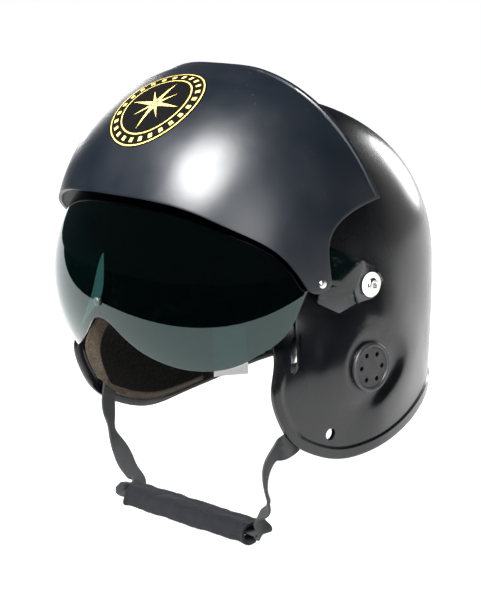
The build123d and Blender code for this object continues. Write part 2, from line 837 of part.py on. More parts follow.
with BuildPart() as care_tag:
    add(pad_inner_form)
    add(shell_form(pad_face + ear_pad + tag_wall), mode=Mode.SUBTRACT)
    with BuildSketch(Plane.YZ.offset(-across)):
        with Locations((tag_y + tag_width / 2, tag_level)):
            Rectangle(tag_width, tag_height)
    extrude(amount=across, dir=(1, 0, 0), mode=Mode.INTERSECT)
save(care_tag.part, "care_tag")

# Chin sleeve, with its own length, width and height directions
turn, dip = math.radians(sleeve_turn), math.radians(sleeve_dip)
sleeve_along = Vector(math.cos(turn) * math.cos(dip), math.sin(turn) * math.cos(dip), -math.sin(dip))
sleeve_across = Vector(-math.sin(turn), math.cos(turn), 0)
sleeve_up = sleeve_along.cross(sleeve_across)
sleeve_middle = Vector(0, sleeve_y, sleeve_z)
slot_width = strap_width + strap_gap * 4
slot_height = strap_wall + strap_wall + strap_gap * 7
sleeve_start = sleeve_middle - sleeve_along * (sleeve_length / 2)
with BuildPart() as chin_sleeve:
    with BuildSketch(Plane(origin=sleeve_start, x_dir=sleeve_across, z_dir=sleeve_along)):
        RectangleRounded(sleeve_width, sleeve_height, sleeve_corner)
        Rectangle(slot_width, slot_height, mode=Mode.SUBTRACT)
    extrude(amount=sleeve_length)
save(chin_sleeve.part, "chin_sleeve")


def strap_route(side, bends):
    """Middle points of one strap, from its anchor into the sleeve, with the way across at each."""
    anchor = on_side(anchor_wall - anchor_normal * (strap_standoff + strap_wall / 2), side)
    layer = sleeve_up * (side * (strap_wall + strap_gap) / 2)
    entry = sleeve_middle + sleeve_along * (side * sleeve_length / 2) + layer
    fall = anchor.Z - entry.Z
    across_anchor = on_side(anchor_across, side)
    route = [
        (anchor + Vector(0, 0, strap_end_above), across_anchor),
        (anchor - Vector(0, 0, strap_rivet_head), across_anchor),
    ]
    for x_share, y_share, z_share, lean in bends:
        middle = Vector(
            anchor.X + (entry.X - anchor.X) * x_share,
            anchor.Y + fall * y_share,
            anchor.Z - fall * z_share,
        )
        way = math.radians(lean)
        route.append((middle, Vector(-side * math.sin(way), math.cos(way), 0)))
    route.append((entry + sleeve_along * (side * strap_lead), sleeve_across))
    route.append((entry, sleeve_across))
    route.append((entry - sleeve_along * (side * strap_in_sleeve), sleeve_across))
    return route


def webbing(route, width, wall):
    """A length of flat webbing through the middle points of a route."""
    last = len(route) - 1
    with BuildPart() as length:
        for place, (middle, way) in enumerate(route):
            before = route[max(place - 1, 0)][0]
            after = route[min(place + 1, last)][0]
            along = (after - before).normalized()
            flat = way - along * way.dot(along)
            with BuildSketch(Plane(origin=middle, x_dir=flat, z_dir=along)):
                Rectangle(width, wall)
        loft(ruled=True)
    return length.part


# Bends of each strap, as shares of the way in to the sleeve, of the fall forwards and of the
# fall down, each with the lean of its face
left_bend_shares = [
    (0.02, 0.0, 0.08, -11),
    (0.06, -0.018, 0.17, -15),
    (0.07, -0.11, 0.22, -10),
    (0.11, -0.2, 0.29, 10),
    (0.2, -0.2, 0.4, 30),
    (0.34, -0.13, 0.58, 48),
    (0.57, -0.02, 0.76, 50),
    (0.8, 0.02, 0.88, 34),
]
right_bend_shares = [
    (0.02, 0.0, 0.08, -11),
    (0.06, -0.04, 0.26, -16),
    (0.085, -0.037, 0.42, -26),
    (0.14, -0.043, 0.53, -40),
    (0.26, -0.04, 0.64, -20),
    (0.45, -0.064, 0.75, 0),
    (0.65, -0.095, 0.84, -5),
    (0.86, -0.137, 0.94, -10),
]
strap_bends = {"left": left_bend_shares, "right": right_bend_shares}
routes = {name: strap_route(side, strap_bends[name]) for name, side in sides}
pocket_width = strap_width + strap_room
pocket_height = strap_end_above + strap_gap + pocket_below
pocket_reach = strap_seat + strap_standoff + strap_wall + strap_room
ear_pad_reach = ear_seat - shell_half_width + pad_face + ear_pad + overrun
for name, side in sides:
    with BuildPart() as chin_strap:
        add(webbing(routes[name], strap_width, strap_wall))
        with BuildSketch(anchor_plane(side, strap_seat)):
            Circle(strap_rivet_radius)
        extrude(amount=-overrun, mode=Mode.SUBTRACT)
    save(chin_strap.part, name + "_chin_strap")

    with BuildPart() as ear_pad_part:
        add(pad_form)
        add(pad_inner_form, mode=Mode.SUBTRACT)
        add(pad_region(pad_split_y - across, side_level), mode=Mode.INTERSECT)
        split(bisect_by=Plane(origin=(0, 0, 0), z_dir=(side, 0, 0)), keep=Keep.TOP)
        with BuildSketch(side_plane(ear_seat, ear_y, ear_level, side)):
            Circle(ear_hollow_radius)
        extrude(amount=-(ear_pad_reach + overrun), mode=Mode.SUBTRACT)
        with BuildSketch(hole_plane(side)):
            Circle(flap_hole_radius + flap_hole_clearance)
        extrude(amount=-(ear_pad_reach + overrun), mode=Mode.SUBTRACT)
        with BuildSketch(anchor_plane(side, strap_seat)):
            with Locations((strap_end_above + strap_gap - pocket_height / 2, 0)):
                Rectangle(pocket_height, pocket_width)
        extrude(amount=-pocket_reach, mode=Mode.SUBTRACT)
    save(ear_pad_part.part, name + "_ear_pad")

rivet_face = strap_standoff + strap_wall
with BuildPart() as strap_rivets:
    for name, side in sides:
        with BuildSketch(anchor_plane(side, strap_seat)):
            Circle(strap_rivet_radius)
        extrude(amount=-(strap_seat + rivet_face))
        with BuildSketch(anchor_plane(side, -rivet_face)):
            Circle(strap_rivet_head)
        extrude(amount=-strap_rivet_height)
save(strap_rivets.part, "strap_rivets")
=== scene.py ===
import json
import math

import bpy
import numpy as np
from mathutils import Matrix, Vector

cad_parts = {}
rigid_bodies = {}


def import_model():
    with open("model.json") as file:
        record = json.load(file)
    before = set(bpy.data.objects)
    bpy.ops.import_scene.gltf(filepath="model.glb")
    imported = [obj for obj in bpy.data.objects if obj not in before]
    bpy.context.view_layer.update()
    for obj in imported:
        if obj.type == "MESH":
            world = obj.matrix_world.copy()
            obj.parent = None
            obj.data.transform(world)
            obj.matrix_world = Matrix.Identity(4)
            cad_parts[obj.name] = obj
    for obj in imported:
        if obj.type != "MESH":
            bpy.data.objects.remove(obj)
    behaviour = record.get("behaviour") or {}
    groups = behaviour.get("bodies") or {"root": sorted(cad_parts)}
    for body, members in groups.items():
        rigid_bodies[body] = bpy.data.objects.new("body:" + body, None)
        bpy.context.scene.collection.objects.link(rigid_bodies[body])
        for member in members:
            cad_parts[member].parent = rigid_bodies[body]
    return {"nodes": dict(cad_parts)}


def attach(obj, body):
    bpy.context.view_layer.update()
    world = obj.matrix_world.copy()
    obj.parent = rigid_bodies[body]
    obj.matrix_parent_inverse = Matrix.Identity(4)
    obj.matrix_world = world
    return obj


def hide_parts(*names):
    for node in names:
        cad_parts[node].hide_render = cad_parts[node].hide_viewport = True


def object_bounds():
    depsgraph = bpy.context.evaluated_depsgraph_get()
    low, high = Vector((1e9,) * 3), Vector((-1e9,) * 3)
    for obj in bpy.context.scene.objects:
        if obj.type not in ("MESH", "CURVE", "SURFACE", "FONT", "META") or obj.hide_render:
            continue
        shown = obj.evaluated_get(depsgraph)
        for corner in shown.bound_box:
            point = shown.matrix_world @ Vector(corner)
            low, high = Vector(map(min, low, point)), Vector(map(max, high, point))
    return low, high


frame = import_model()
cad_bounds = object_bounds()
bpy.ops.object.select_all(action="DESELECT")

# Lengths below are in millimetres, as on the drawing; a finished mesh is in metres
MM = 0.001
QUARTER_TURN = math.pi / 2

# The photograph's height and the place of the aim from its middle, in pixels
PHOTO_HEIGHT = 600
AIM_RIGHT, AIM_UP = 33.9, -37.0


# Camera and surroundings


def add_camera():
    """The photographer's place: to the front left of the wearer, a little above the brow."""
    turn, rise, distance = math.radians(49.5), math.radians(9.0), 1.5
    aim = Vector((0, -0.04, 0))
    back = Vector((math.sin(turn) * math.cos(rise), -math.cos(turn) * math.cos(rise), math.sin(rise)))
    right = Vector((math.cos(turn), math.sin(turn), 0))
    up = back.cross(right)
    place = aim + back * distance
    data = bpy.data.cameras.new("photo_camera")
    data.lens = 130.5
    data.sensor_width = 36
    data.shift_x = AIM_RIGHT / PHOTO_HEIGHT
    data.shift_y = AIM_UP / PHOTO_HEIGHT
    data.clip_start = 0.05
    camera = bpy.data.objects.new("photo_camera", data)
    bpy.context.scene.collection.objects.link(camera)
    columns = zip(right, up, back, place)
    camera.matrix_world = Matrix([list(row) for row in columns] + [[0, 0, 0, 1]])
    bpy.context.scene.camera = camera


def add_lamp(name, turn, rise, distance, size, power):
    """A soft round lamp aimed at the helmet; turn 0 is straight in front of the wearer."""
    a, e = math.radians(turn), math.radians(rise)
    way = Vector((math.sin(a) * math.cos(e), -math.cos(a) * math.cos(e), math.sin(e)))
    bpy.ops.object.light_add(type="AREA", location=way * distance)
    lamp = bpy.context.object
    lamp.name = name
    lamp.data.shape = "DISK"
    lamp.data.size = size
    lamp.data.energy = power
    lamp.rotation_euler = way.to_track_quat("Z", "Y").to_euler()
    return lamp


def link_chain(tree, *sockets):
    for source, target in zip(sockets[::2], sockets[1::2]):
        tree.links.new(source, target)


def set_world():
    """A white backdrop for the eye and for clear pieces, and a dimmer room for the light."""
    world = bpy.data.worlds.new("studio")
    bpy.context.scene.world = world
    world.use_nodes = True
    tree = world.node_tree
    nodes = tree.nodes
    nodes.clear()
    out = nodes.new("ShaderNodeOutputWorld")
    white = nodes.new("ShaderNodeBackground")
    white.inputs["Color"].default_value = (1, 1, 1, 1)
    room = nodes.new("ShaderNodeBackground")
    room.inputs["Strength"].default_value = 0.62
    place = nodes.new("ShaderNodeTexCoord")
    split = nodes.new("ShaderNodeSeparateXYZ")
    ramp = nodes.new("ShaderNodeValToRGB")
    ramp.color_ramp.elements[0].position = 0.9
    ramp.color_ramp.elements[0].color = (0.04, 0.042, 0.05, 1)
    ramp.color_ramp.elements[1].position = 0.985
    ramp.color_ramp.elements[1].color = (1, 1, 1, 1)
    stretch = nodes.new("ShaderNodeMapRange")
    stretch.inputs["From Min"].default_value = -1
    ray = nodes.new("ShaderNodeLightPath")
    seen = nodes.new("ShaderNodeMath")
    seen.operation = "MAXIMUM"
    mix = nodes.new("ShaderNodeMixShader")
    link_chain(
        tree,
        place.outputs["Generated"], split.inputs["Vector"],
        split.outputs["Y"], stretch.inputs["Value"],
        stretch.outputs["Result"], ramp.inputs["Fac"],
        ramp.outputs["Color"], room.inputs["Color"],
        ray.outputs["Is Camera Ray"], seen.inputs[0],
        ray.outputs["Is Transmission Ray"], seen.inputs[1],
        seen.outputs["Value"], mix.inputs["Fac"],
        room.outputs["Background"], mix.inputs[1],
        white.outputs["Background"], mix.inputs[2],
        mix.outputs["Shader"], out.inputs["Surface"],
    )


def add_floor(level):
    """Plain pale floor that keeps the helmet's shadow; white to the eye, and glowing in polished surfaces
    as a painted reflection.
    """
    bpy.ops.mesh.primitive_plane_add(size=30, location=(0, 0, level))
    floor = bpy.context.object
    floor.name = "floor"
    paint = Finish("pale_floor", 0.8)
    paint.colour((0.86, 0.86, 0.86, 1))
    glow = paint.nodes.new("ShaderNodeEmission")
    glow.inputs["Color"].default_value = (1, 1, 1, 1)
    ray = paint.nodes.new("ShaderNodeLightPath")
    mix = paint.nodes.new("ShaderNodeMixShader")
    seen = paint.larger(ray.outputs["Is Camera Ray"], ray.outputs["Is Transmission Ray"])
    # Painted reflection: the floor glows for polished surfaces only, and the glow ends in front of the
    # helmet, on a line that curves back to the wearer's left
    x, y = paint.axes()[0:2]
    bend = paint.worked_out("POWER", paint.larger(paint.plus(x, 0.5), 0.0), 2.73)
    reflected_glow_area = paint.worked_out("GREATER_THAN", y, paint.plus(paint.times(bend, 0.38), -0.45))
    mirrored = paint.times(paint.times(reflected_glow_area, 1.8), ray.outputs["Is Glossy Ray"])
    paint.put(glow.inputs["Strength"], paint.plus(paint.times(seen, 1.37), mirrored))
    share = paint.plus(paint.times(seen, 0.72), ray.outputs["Is Glossy Ray"])
    paint.put(mix.inputs["Fac"], share)
    link_chain(
        paint.tree,
        paint.shader.outputs["BSDF"], mix.inputs[1],
        glow.outputs["Emission"], mix.inputs[2],
        mix.outputs["Shader"], paint.nodes["Material Output"].inputs["Surface"],
    )
    floor.data.materials.append(paint.material)


# Finishes


class Finish:
    """One material, with a few short calls for the nodes that it is made of."""

    def __init__(self, name, roughness=0.5, coordinates="Object", **shader_values):
        self.material = bpy.data.materials.new(name)
        self.material.use_nodes = True
        self.tree = self.material.node_tree
        self.nodes = self.tree.nodes
        self.shader = self.nodes["Principled BSDF"]
        self.shader.inputs["Roughness"].default_value = roughness
        for socket, value in shader_values.items():
            self.shader.inputs[socket.replace("_", " ")].default_value = value
        self.place = self.nodes.new("ShaderNodeTexCoord").outputs[coordinates]

    def put(self, target, value):
        if isinstance(value, bpy.types.NodeSocket):
            self.tree.links.new(value, target)
        else:
            target.default_value = value

    def scaled(self, x, y, z, turn=(0, 0, 0)):
        """The place, stretched along its axes."""
        node = self.nodes.new("ShaderNodeMapping")
        node.inputs["Scale"].default_value = (x, y, z)
        node.inputs["Rotation"].default_value = turn
        self.tree.links.new(self.place, node.inputs["Vector"])
        return node.outputs["Vector"]

    def noise(self, scale, detail=3, place=None, rough=0.5):
        node = self.nodes.new("ShaderNodeTexNoise")
        node.inputs["Scale"].default_value = scale
        node.inputs["Detail"].default_value = detail
        node.inputs["Roughness"].default_value = rough
        self.tree.links.new(place or self.place, node.inputs["Vector"])
        return node.outputs["Fac"]

    def cells(self, scale):
        node = self.nodes.new("ShaderNodeTexVoronoi")
        node.inputs["Scale"].default_value = scale
        self.tree.links.new(self.place, node.inputs["Vector"])
        return node.outputs["Distance"]

    def span(self, value, low, high, to_low=0.0, to_high=1.0):
        """The value carried from one range to another, and held there."""
        node = self.nodes.new("ShaderNodeMapRange")
        limits = {"From Min": low, "From Max": high, "To Min": to_low, "To Max": to_high}
        for socket, number in limits.items():
            node.inputs[socket].default_value = number
        self.tree.links.new(value, node.inputs["Value"])
        return node.outputs["Result"]

    def worked_out(self, kind, first, second=0.0):
        """One step of arithmetic on values or sockets."""
        node = self.nodes.new("ShaderNodeMath")
        node.operation = kind
        self.put(node.inputs[0], first)
        self.put(node.inputs[1], second)
        return node.outputs["Value"]

    def plus(self, first, second):
        return self.worked_out("ADD", first, second)

    def minus(self, first, second):
        return self.worked_out("SUBTRACT", first, second)

    def times(self, first, second):
        return self.worked_out("MULTIPLY", first, second)

    def larger(self, first, second):
        return self.worked_out("MAXIMUM", first, second)

    def blend(self, share, first, second):
        """A colour between two colours."""
        node = self.nodes.new("ShaderNodeMix")
        node.data_type = "RGBA"
        self.put(node.inputs["Factor"], share)
        for socket, colour in ((node.inputs[6], first), (node.inputs[7], second)):
            self.put(socket, colour if isinstance(colour, bpy.types.NodeSocket) else (*colour, 1))
        return node.outputs[2]

    def axes(self):
        node = self.nodes.new("ShaderNodeSeparateXYZ")
        self.tree.links.new(self.place, node.inputs["Vector"])
        return node.outputs

    def colour(self, value):
        self.put(self.shader.inputs["Base Color"], value)

    def rough(self, value):
        self.put(self.shader.inputs["Roughness"], value)

    def bump(self, height, depth, strength=1.0):
        node = self.nodes.new("ShaderNodeBump")
        node.inputs["Strength"].default_value = strength
        node.inputs["Distance"].default_value = depth
        self.tree.links.new(height, node.inputs["Height"])
        self.tree.links.new(node.outputs["Normal"], self.shader.inputs["Normal"])


def satin_paint(name, dark, light, roughness, scuffed):
    """Moulded shell with satin paint: faint cloudiness, orange peel, fine scuffs and dust specks."""
    paint = Finish(name, roughness)
    cloud = paint.noise(14, 3)
    base = paint.blend(paint.span(cloud, 0.35, 0.7), dark, light)
    streaks = paint.noise(120, 4, paint.scaled(1, 0.12, 0.5, (0.5, 0.3, 0.7)), 0.7)
    worn = paint.span(paint.noise(22, 2), 0.5, 0.72)
    scuffs = paint.times(paint.span(streaks, 0.66, 0.8), worn)
    specks = paint.span(paint.cells(420), 0.0, 0.09, 1, 0)
    thinned = paint.times(specks, paint.span(paint.noise(60, 1), 0.56, 0.62))
    marks = paint.times(paint.larger(scuffs, thinned), scuffed)
    paint.colour(paint.blend(marks, base, (0.3, 0.31, 0.33)))
    patches = paint.span(paint.noise(30, 4), 0.3, 0.75, roughness - 0.05, roughness + 0.07)
    paint.rough(paint.plus(patches, paint.times(marks, 0.2)))
    peel = paint.plus(paint.noise(900, 2), paint.times(paint.noise(260, 2), 0.8))
    paint.bump(peel, 0.00006, 0.5)
    return paint.material


def lens_glass():
    """Dark green clear plastic, a little dusty, and polished."""
    glass = Finish("green_lens", 0.02, Transmission_Weight=1.0, IOR=1.6, Specular_IOR_Level=1.0)
    cloud = glass.span(glass.noise(9, 2), 0.3, 0.7)
    tint = glass.blend(cloud, (0.007, 0.026, 0.024), (0.010, 0.032, 0.029))
    specks = glass.span(glass.cells(300), 0.0, 0.06, 0.5, 0)
    some = glass.times(specks, glass.span(glass.noise(40, 1), 0.56, 0.62))
    glass.colour(glass.blend(some, tint, (0.2, 0.26, 0.22)))
    glass.rough(glass.span(glass.noise(70, 4), 0.4, 0.8, 0.01, 0.03))
    glass.shader.inputs["Specular Tint"].default_value = (0.74, 1.0, 0.97, 1)
    return glass.material


def bracket_glass():
    """Smoked clear plastic of the folded brackets, with fine scratches; its tint is painted near black and
    it lets less light through, as painted shade of the shell behind it.
    """
    glass = Finish("smoked_bracket_painted_shade", 0.08, Transmission_Weight=0.35, IOR=1.5, Specular_IOR_Level=0.4)
    scratches = glass.noise(300, 4, glass.scaled(1, 0.2, 1, (0.4, 0, 0)), 0.7)
    # The near-black tint is partly the plastic's smoke and partly painted shade
    glass.colour(glass.blend(glass.span(scratches, 0.62, 0.8), (0.0015, 0.004, 0.004), (0.12, 0.15, 0.15)))
    glass.rough(glass.span(glass.noise(160, 3), 0.3, 0.8, 0.05, 0.16))
    glass.bump(scratches, 0.00003, 0.4)
    return glass.material


def foam(name, dark, light, grain):
    """Open foam faced with a thin speckled cloth; painted near black round the ear, as painted shade in the
    ear hollow and behind the ear plate's holes.
    """
    soft = Finish(name, 0.95, Sheen_Weight=0.02, Sheen_Roughness=0.6, Specular_IOR_Level=0.08)
    fine = soft.noise(grain, 5, rough=0.7)
    coarse = soft.noise(grain / 9, 3)
    mixed = soft.plus(soft.times(fine, 0.75), soft.times(coarse, 0.3))
    tone = soft.blend(soft.span(mixed, 0.36, 0.68), dark, light)
    # Painted shade: round the ear's axis, at the sides, the foam is painted near black
    x, y, z = soft.axes()[0:3]
    away_y = soft.minus(y, EAR_Y * MM)
    away_z = soft.minus(z, EAR_LEVEL * MM)
    squares = soft.plus(soft.times(away_y, away_y), soft.times(away_z, away_z))
    wobble = soft.times(soft.noise(90, 2), 0.002)
    reach = soft.plus(soft.worked_out("SQRT", squares), wobble)
    side = soft.span(soft.worked_out("ABSOLUTE", x), 0.06, 0.07)
    hollow = soft.times(soft.span(reach, 0.0262, 0.0278, 1, 0), side)
    soft.colour(soft.blend(hollow, tone, (0.0005, 0.0005, 0.0005)))
    soft.rough(soft.span(coarse, 0.3, 0.7, 0.9, 1.0))
    pits = soft.plus(soft.cells(grain * 0.55), soft.times(fine, 0.5))
    soft.bump(pits, 0.0009, 0.8)
    return soft.material


def woven(name, dark, light, rows_along, threads_across):
    """Flat woven webbing on the piece's own map: U runs across and V along."""
    cloth = Finish(name, 0.8, "UV")
    u, v = cloth.axes()[0:2]
    warp = cloth.worked_out("SINE", cloth.times(u, threads_across * math.pi * 2))
    rows = cloth.worked_out("SINE", cloth.times(v, rows_along * math.pi * 2))
    weave = cloth.times(warp, rows)
    thread = cloth.noise(90, 4, cloth.scaled(6, 60, 1))
    height = cloth.plus(cloth.times(weave, 0.5), cloth.times(thread, 0.5))
    cloth.colour(cloth.blend(cloth.span(height, -0.3, 0.9), dark, light))
    cloth.rough(cloth.span(thread, 0.3, 0.7, 0.72, 0.92))
    cloth.bump(height, 0.0004, 0.8)
    return cloth.material


def fuzzy_cloth():
    """Dark brushed cloth of the chin sleeve, with streaks along it."""
    cloth = Finish(
        "sleeve_cloth", 0.95, "UV", Sheen_Weight=0.05, Sheen_Roughness=0.35, Specular_IOR_Level=0.25,
    )
    cloth.shader.inputs["Sheen Tint"].default_value = (0.5, 0.55, 0.62, 1)
    streaks = cloth.noise(6, 6, cloth.scaled(12, 55, 1), 0.75)
    lint = cloth.noise(300, 3, rough=0.8)
    tone = cloth.plus(cloth.times(streaks, 0.7), cloth.times(lint, 0.35))
    brushed = cloth.span(tone, 0.4, 0.72)
    cloth.colour(cloth.blend(brushed, (0.0008, 0.0011, 0.0018), (0.009, 0.011, 0.0145)))
    cloth.rough(cloth.span(streaks, 0.3, 0.7, 0.85, 1.0))
    cloth.bump(tone, 0.0012, 0.9)
    return cloth.material


def metal(name, tint, roughness):
    """Polished or satin metal with fine rub marks."""
    piece = Finish(name, roughness, Metallic=1.0)
    rubs = piece.noise(700, 4, piece.scaled(1, 0.2, 1))
    worn = tuple(part * 0.72 for part in tint)
    piece.colour(piece.blend(piece.span(piece.noise(60, 3), 0.35, 0.7), worn, tint))
    piece.rough(piece.span(rubs, 0.3, 0.8, roughness, roughness + 0.12))
    piece.bump(rubs, 0.00002, 0.4)
    return piece.material


def moulded(name, dark, light, roughness):
    """Small moulded plastic part with fine grain."""
    piece = Finish(name, roughness)
    piece.colour(piece.blend(piece.span(piece.noise(150, 4), 0.35, 0.7), dark, light))
    piece.rough(piece.span(piece.noise(90, 3), 0.3, 0.7, roughness - 0.06, roughness + 0.08))
    piece.bump(piece.noise(1400, 2), 0.00003, 0.5)
    return piece.material


def emblem_print():
    """Glossy black disc with two pale gold rings, a ring of small marks and an eight-point star."""
    disc = Finish("emblem_gloss", 0.12, "UV", Coat_Weight=0.4, Coat_Roughness=0.05)
    u, v = disc.axes()[0:2]
    a = disc.minus(disc.times(u, 2.0), 1.0)
    b = disc.minus(disc.times(v, 2.0), 1.0)
    reach = disc.worked_out("SQRT", disc.plus(disc.times(a, a), disc.times(b, b)))
    turn = disc.worked_out("ARCTAN2", b, a)

    def ring(radius, width):
        away = disc.worked_out("ABSOLUTE", disc.minus(reach, radius))
        return disc.span(away, width - 0.006, width + 0.006, 1, 0)

    def petal(count, start, deep):
        """How far a star with this many points reaches, at each turn."""
        shifted = disc.plus(turn, start)
        wave = disc.worked_out("ABSOLUTE", disc.worked_out("SINE", disc.times(shifted, count / 2)))
        return disc.worked_out("DIVIDE", 0.14, disc.plus(disc.times(wave, deep), 0.14))

    def star(count, start, deep, size):
        edge = disc.minus(disc.times(petal(count, start, deep), size), reach)
        return disc.span(edge, -0.006, 0.006)

    ticks = disc.worked_out("SINE", disc.times(turn, 24.0))
    dash = disc.times(disc.span(ticks, 0.25, 0.55), ring(0.85, 0.045))
    long_star = star(4, 0.0, 0.75, 0.62)
    short_star = star(4, math.pi / 4, 0.9, 0.46)
    hub = disc.span(reach, 0.075, 0.087, 1, 0)
    marks = disc.larger(ring(0.965, 0.012), ring(0.725, 0.012))
    marks = disc.larger(marks, dash)
    marks = disc.larger(marks, disc.larger(long_star, short_star))
    marks = disc.minus(marks, hub)
    marks = disc.larger(marks, ring(0.035, 0.02))
    worn = disc.span(disc.noise(40, 4), 0.3, 0.6, 0.7, 1)
    gold = disc.blend(disc.noise(14, 3), (0.62, 0.42, 0.09), (0.86, 0.66, 0.22))
    disc.colour(disc.blend(disc.times(marks, worn), (0.004, 0.004, 0.004), gold))
    disc.rough(disc.span(disc.noise(30, 4), 0.3, 0.8, 0.1, 0.24))
    disc.bump(marks, 0.00005, 0.5)
    return disc.material


# Mesh making


def only(*pieces):
    """Selects these pieces alone; the first is the active one."""
    bpy.ops.object.select_all(action="DESELECT")
    for piece in pieces:
        piece.select_set(True)
    bpy.context.view_layer.objects.active = pieces[0]


def edit(piece, work):
    """Runs a few edit mode operators on the whole piece."""
    only(piece)
    bpy.ops.object.mode_set(mode="EDIT")
    bpy.ops.mesh.select_mode(type="VERT")
    bpy.ops.mesh.select_all(action="SELECT")
    work()
    bpy.ops.object.mode_set(mode="OBJECT")


def joined_up(piece):
    """Merges doubled points and turns all faces outwards."""
    edit(piece, lambda: bpy.ops.mesh.remove_doubles(threshold=0.00002))
    edit(piece, lambda: bpy.ops.mesh.normals_make_consistent(inside=False))


def modify(piece, kind, **settings):
    """Adds a modifier and applies it."""
    only(piece)
    modifier = piece.modifiers.new(kind.lower(), kind)
    for name, value in settings.items():
        setattr(modifier, name, value)
    bpy.ops.object.modifier_apply(modifier=modifier.name)


def smooth(piece, angle=35):
    only(piece)
    bpy.ops.object.shade_smooth_by_angle(angle=math.radians(angle))


def round_edges(piece, width, segments=2, angle=40):
    modify(
        piece, "BEVEL", width=width * MM, segments=segments, limit_method="ANGLE",
        angle_limit=math.radians(angle), use_clamp_overlap=True,
    )


def placed_along(tool, centre, axis):
    """Puts a round tool in its place, along a direction."""
    turn = Vector(axis).to_track_quat("Z", "Y").to_matrix().to_4x4()
    tool.matrix_world = Matrix.Translation(Vector(centre) * MM) @ turn
    bpy.context.view_layer.update()


def bored(piece, centre, radius, length, axis=(1, 0, 0)):
    """Cuts a round bore through a piece, along X or along another direction."""
    bpy.ops.mesh.primitive_cylinder_add(vertices=48, radius=radius * MM, depth=length * MM)
    cutter = bpy.context.object
    placed_along(cutter, centre, axis)
    modify(piece, "BOOLEAN", operation="DIFFERENCE", object=cutter, solver="EXACT")
    bpy.data.objects.remove(cutter)


def sheet_of(name, columns, rows, place):
    """A grid whose points are put in place by place(u, v), with its own map."""
    bpy.ops.mesh.primitive_grid_add(x_subdivisions=columns, y_subdivisions=rows, size=2)
    piece = bpy.context.object
    piece.name = name
    points = np.empty(len(piece.data.vertices) * 3)
    piece.data.vertices.foreach_get("co", points)
    points = points.reshape(-1, 3)
    u = np.clip((points[:, 0] + 1) / 2, 0, 1)
    v = np.clip((points[:, 1] + 1) / 2, 0, 1)
    piece.data.vertices.foreach_set("co", (np.asarray(place(u, v)) * MM).ravel())
    piece.data.update()
    return piece


def finish_piece(piece, body, slot, *nodes, materials=()):
    """Gives a finished piece its finish, its body and the solids that it stands for; the slot is not used.
    """
    places = [min(polygon.material_index, len(materials) - 1) for polygon in piece.data.polygons]
    piece.data.materials.clear()
    for material in materials:
        piece.data.materials.append(material)
    piece.data.polygons.foreach_set("material_index", places)
    if nodes:
        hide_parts(*nodes)
    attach(piece, body)
    return piece


def mirrored(piece):
    """Adds the other half of the helmet's piece, joined on the middle plane."""
    modify(piece, "MIRROR", use_axis=(True, False, False), use_mirror_merge=True, merge_threshold=0.00005)
    joined_up(piece)


def smooth_path(points):
    """A smooth curve through points, as a function of a value from 0 to 1."""
    points = np.asarray(points, float)
    steps = np.linalg.norm(np.diff(points, axis=0), axis=1)
    knots = run_along(points)
    count = len(points)
    matrix = np.zeros((count, count))
    right = np.zeros_like(points)
    matrix[0, 0] = matrix[-1, -1] = 1
    for k in range(1, count - 1):
        before, after = steps[k - 1], steps[k]
        matrix[k, k - 1 : k + 2] = before, 2 * (before + after), after
        right[k] = 6 * ((points[k + 1] - points[k]) / after - (points[k] - points[k - 1]) / before)
    bends = np.linalg.solve(matrix, right)

    def at(share):
        value = np.atleast_1d(np.clip(share, 0, 1)) * knots[-1]
        k = np.clip(np.searchsorted(knots, value, side="right") - 1, 0, count - 2)
        span = steps[k][:, None]
        a = (knots[k + 1] - value)[:, None] / span
        b = 1 - a
        curve = a * points[k] + b * points[k + 1]
        return curve + ((a**3 - a) * bends[k] + (b**3 - b) * bends[k + 1]) * span**2 / 6

    return at


def run_along(points):
    """Distance along a polyline at each of its points."""
    return np.concatenate([[0], np.cumsum(np.linalg.norm(np.diff(points, axis=0), axis=1))])


def evenly(path_points, count_or_shares):
    """Points along a polyline at even spacing, or at given shares of its length."""
    path_points = np.asarray(path_points, float)
    run = run_along(path_points)
    shares = np.linspace(0, 1, count_or_shares) if isinstance(count_or_shares, int) else count_or_shares
    wanted = np.asarray(shares) * run[-1]
    return np.stack([np.interp(wanted, run, path_points[:, k]) for k in range(path_points.shape[1])], -1)


def patch_between(bottom, top, left, right):
    """A map from (u, v) to the inside of four joined edges, each a polyline from its low end."""

    def at(u, v):
        b, t = evenly(bottom, u), evenly(top, u)
        l, r = evenly(left, v), evenly(right, v)
        u, v = np.asarray(u)[:, None], np.asarray(v)[:, None]
        corners = (1 - u) * (1 - v) * bottom[0] + u * (1 - v) * bottom[-1]
        corners = corners + (1 - u) * v * top[0] + u * v * top[-1]
        return (1 - v) * b + v * t + (1 - u) * l + u * r - corners

    return at


def ease(value, low, high):
    """0 below low and 1 above high, with a smooth step between."""
    share = np.clip((value - low) / (high - low), 0, 1)
    return share * share * (3 - 2 * share)


# The helmet's form, as on the drawing

# Ear plate, flap hole and visor pivot in side view, and how far out the ear plate's seat lies
EAR_Y, EAR_LEVEL, EAR_SEAT = 8.7, -62.0, 112.0
FLAP_HOLE_Y, FLAP_HOLE_LEVEL = -22.4, -104.4
PIVOT_Y, PIVOT_Z = 8.5, -6.0

# Radii of the seat round the ear plate, the bore behind it, the flap's hole and the pivot's two bores,
# and how far out the wider one's floor lies
SEAT_RADIUS, EAR_BORE, FLAP_BORE = 17, 11, 4
PIVOT_RECESS, PIVOT_BORE, RECESS_FLOOR = 6.5, 3.2, 105.5

# The dome stands on the waist; a run is measured down from the crown over the dome and then down the skirt
WAIST, DOME_RISE, WAIST_RUN = -10.0, 125.0, 190.0
HALF_WIDTH, FRONT_REACH, BACK_REACH = 106.7, 109.0, 132.0
MEAN_RADIUS = 118
SHELL_WALL, PAD_FACE, PAD_THICKNESS = 3.2, 3.6, 10.0

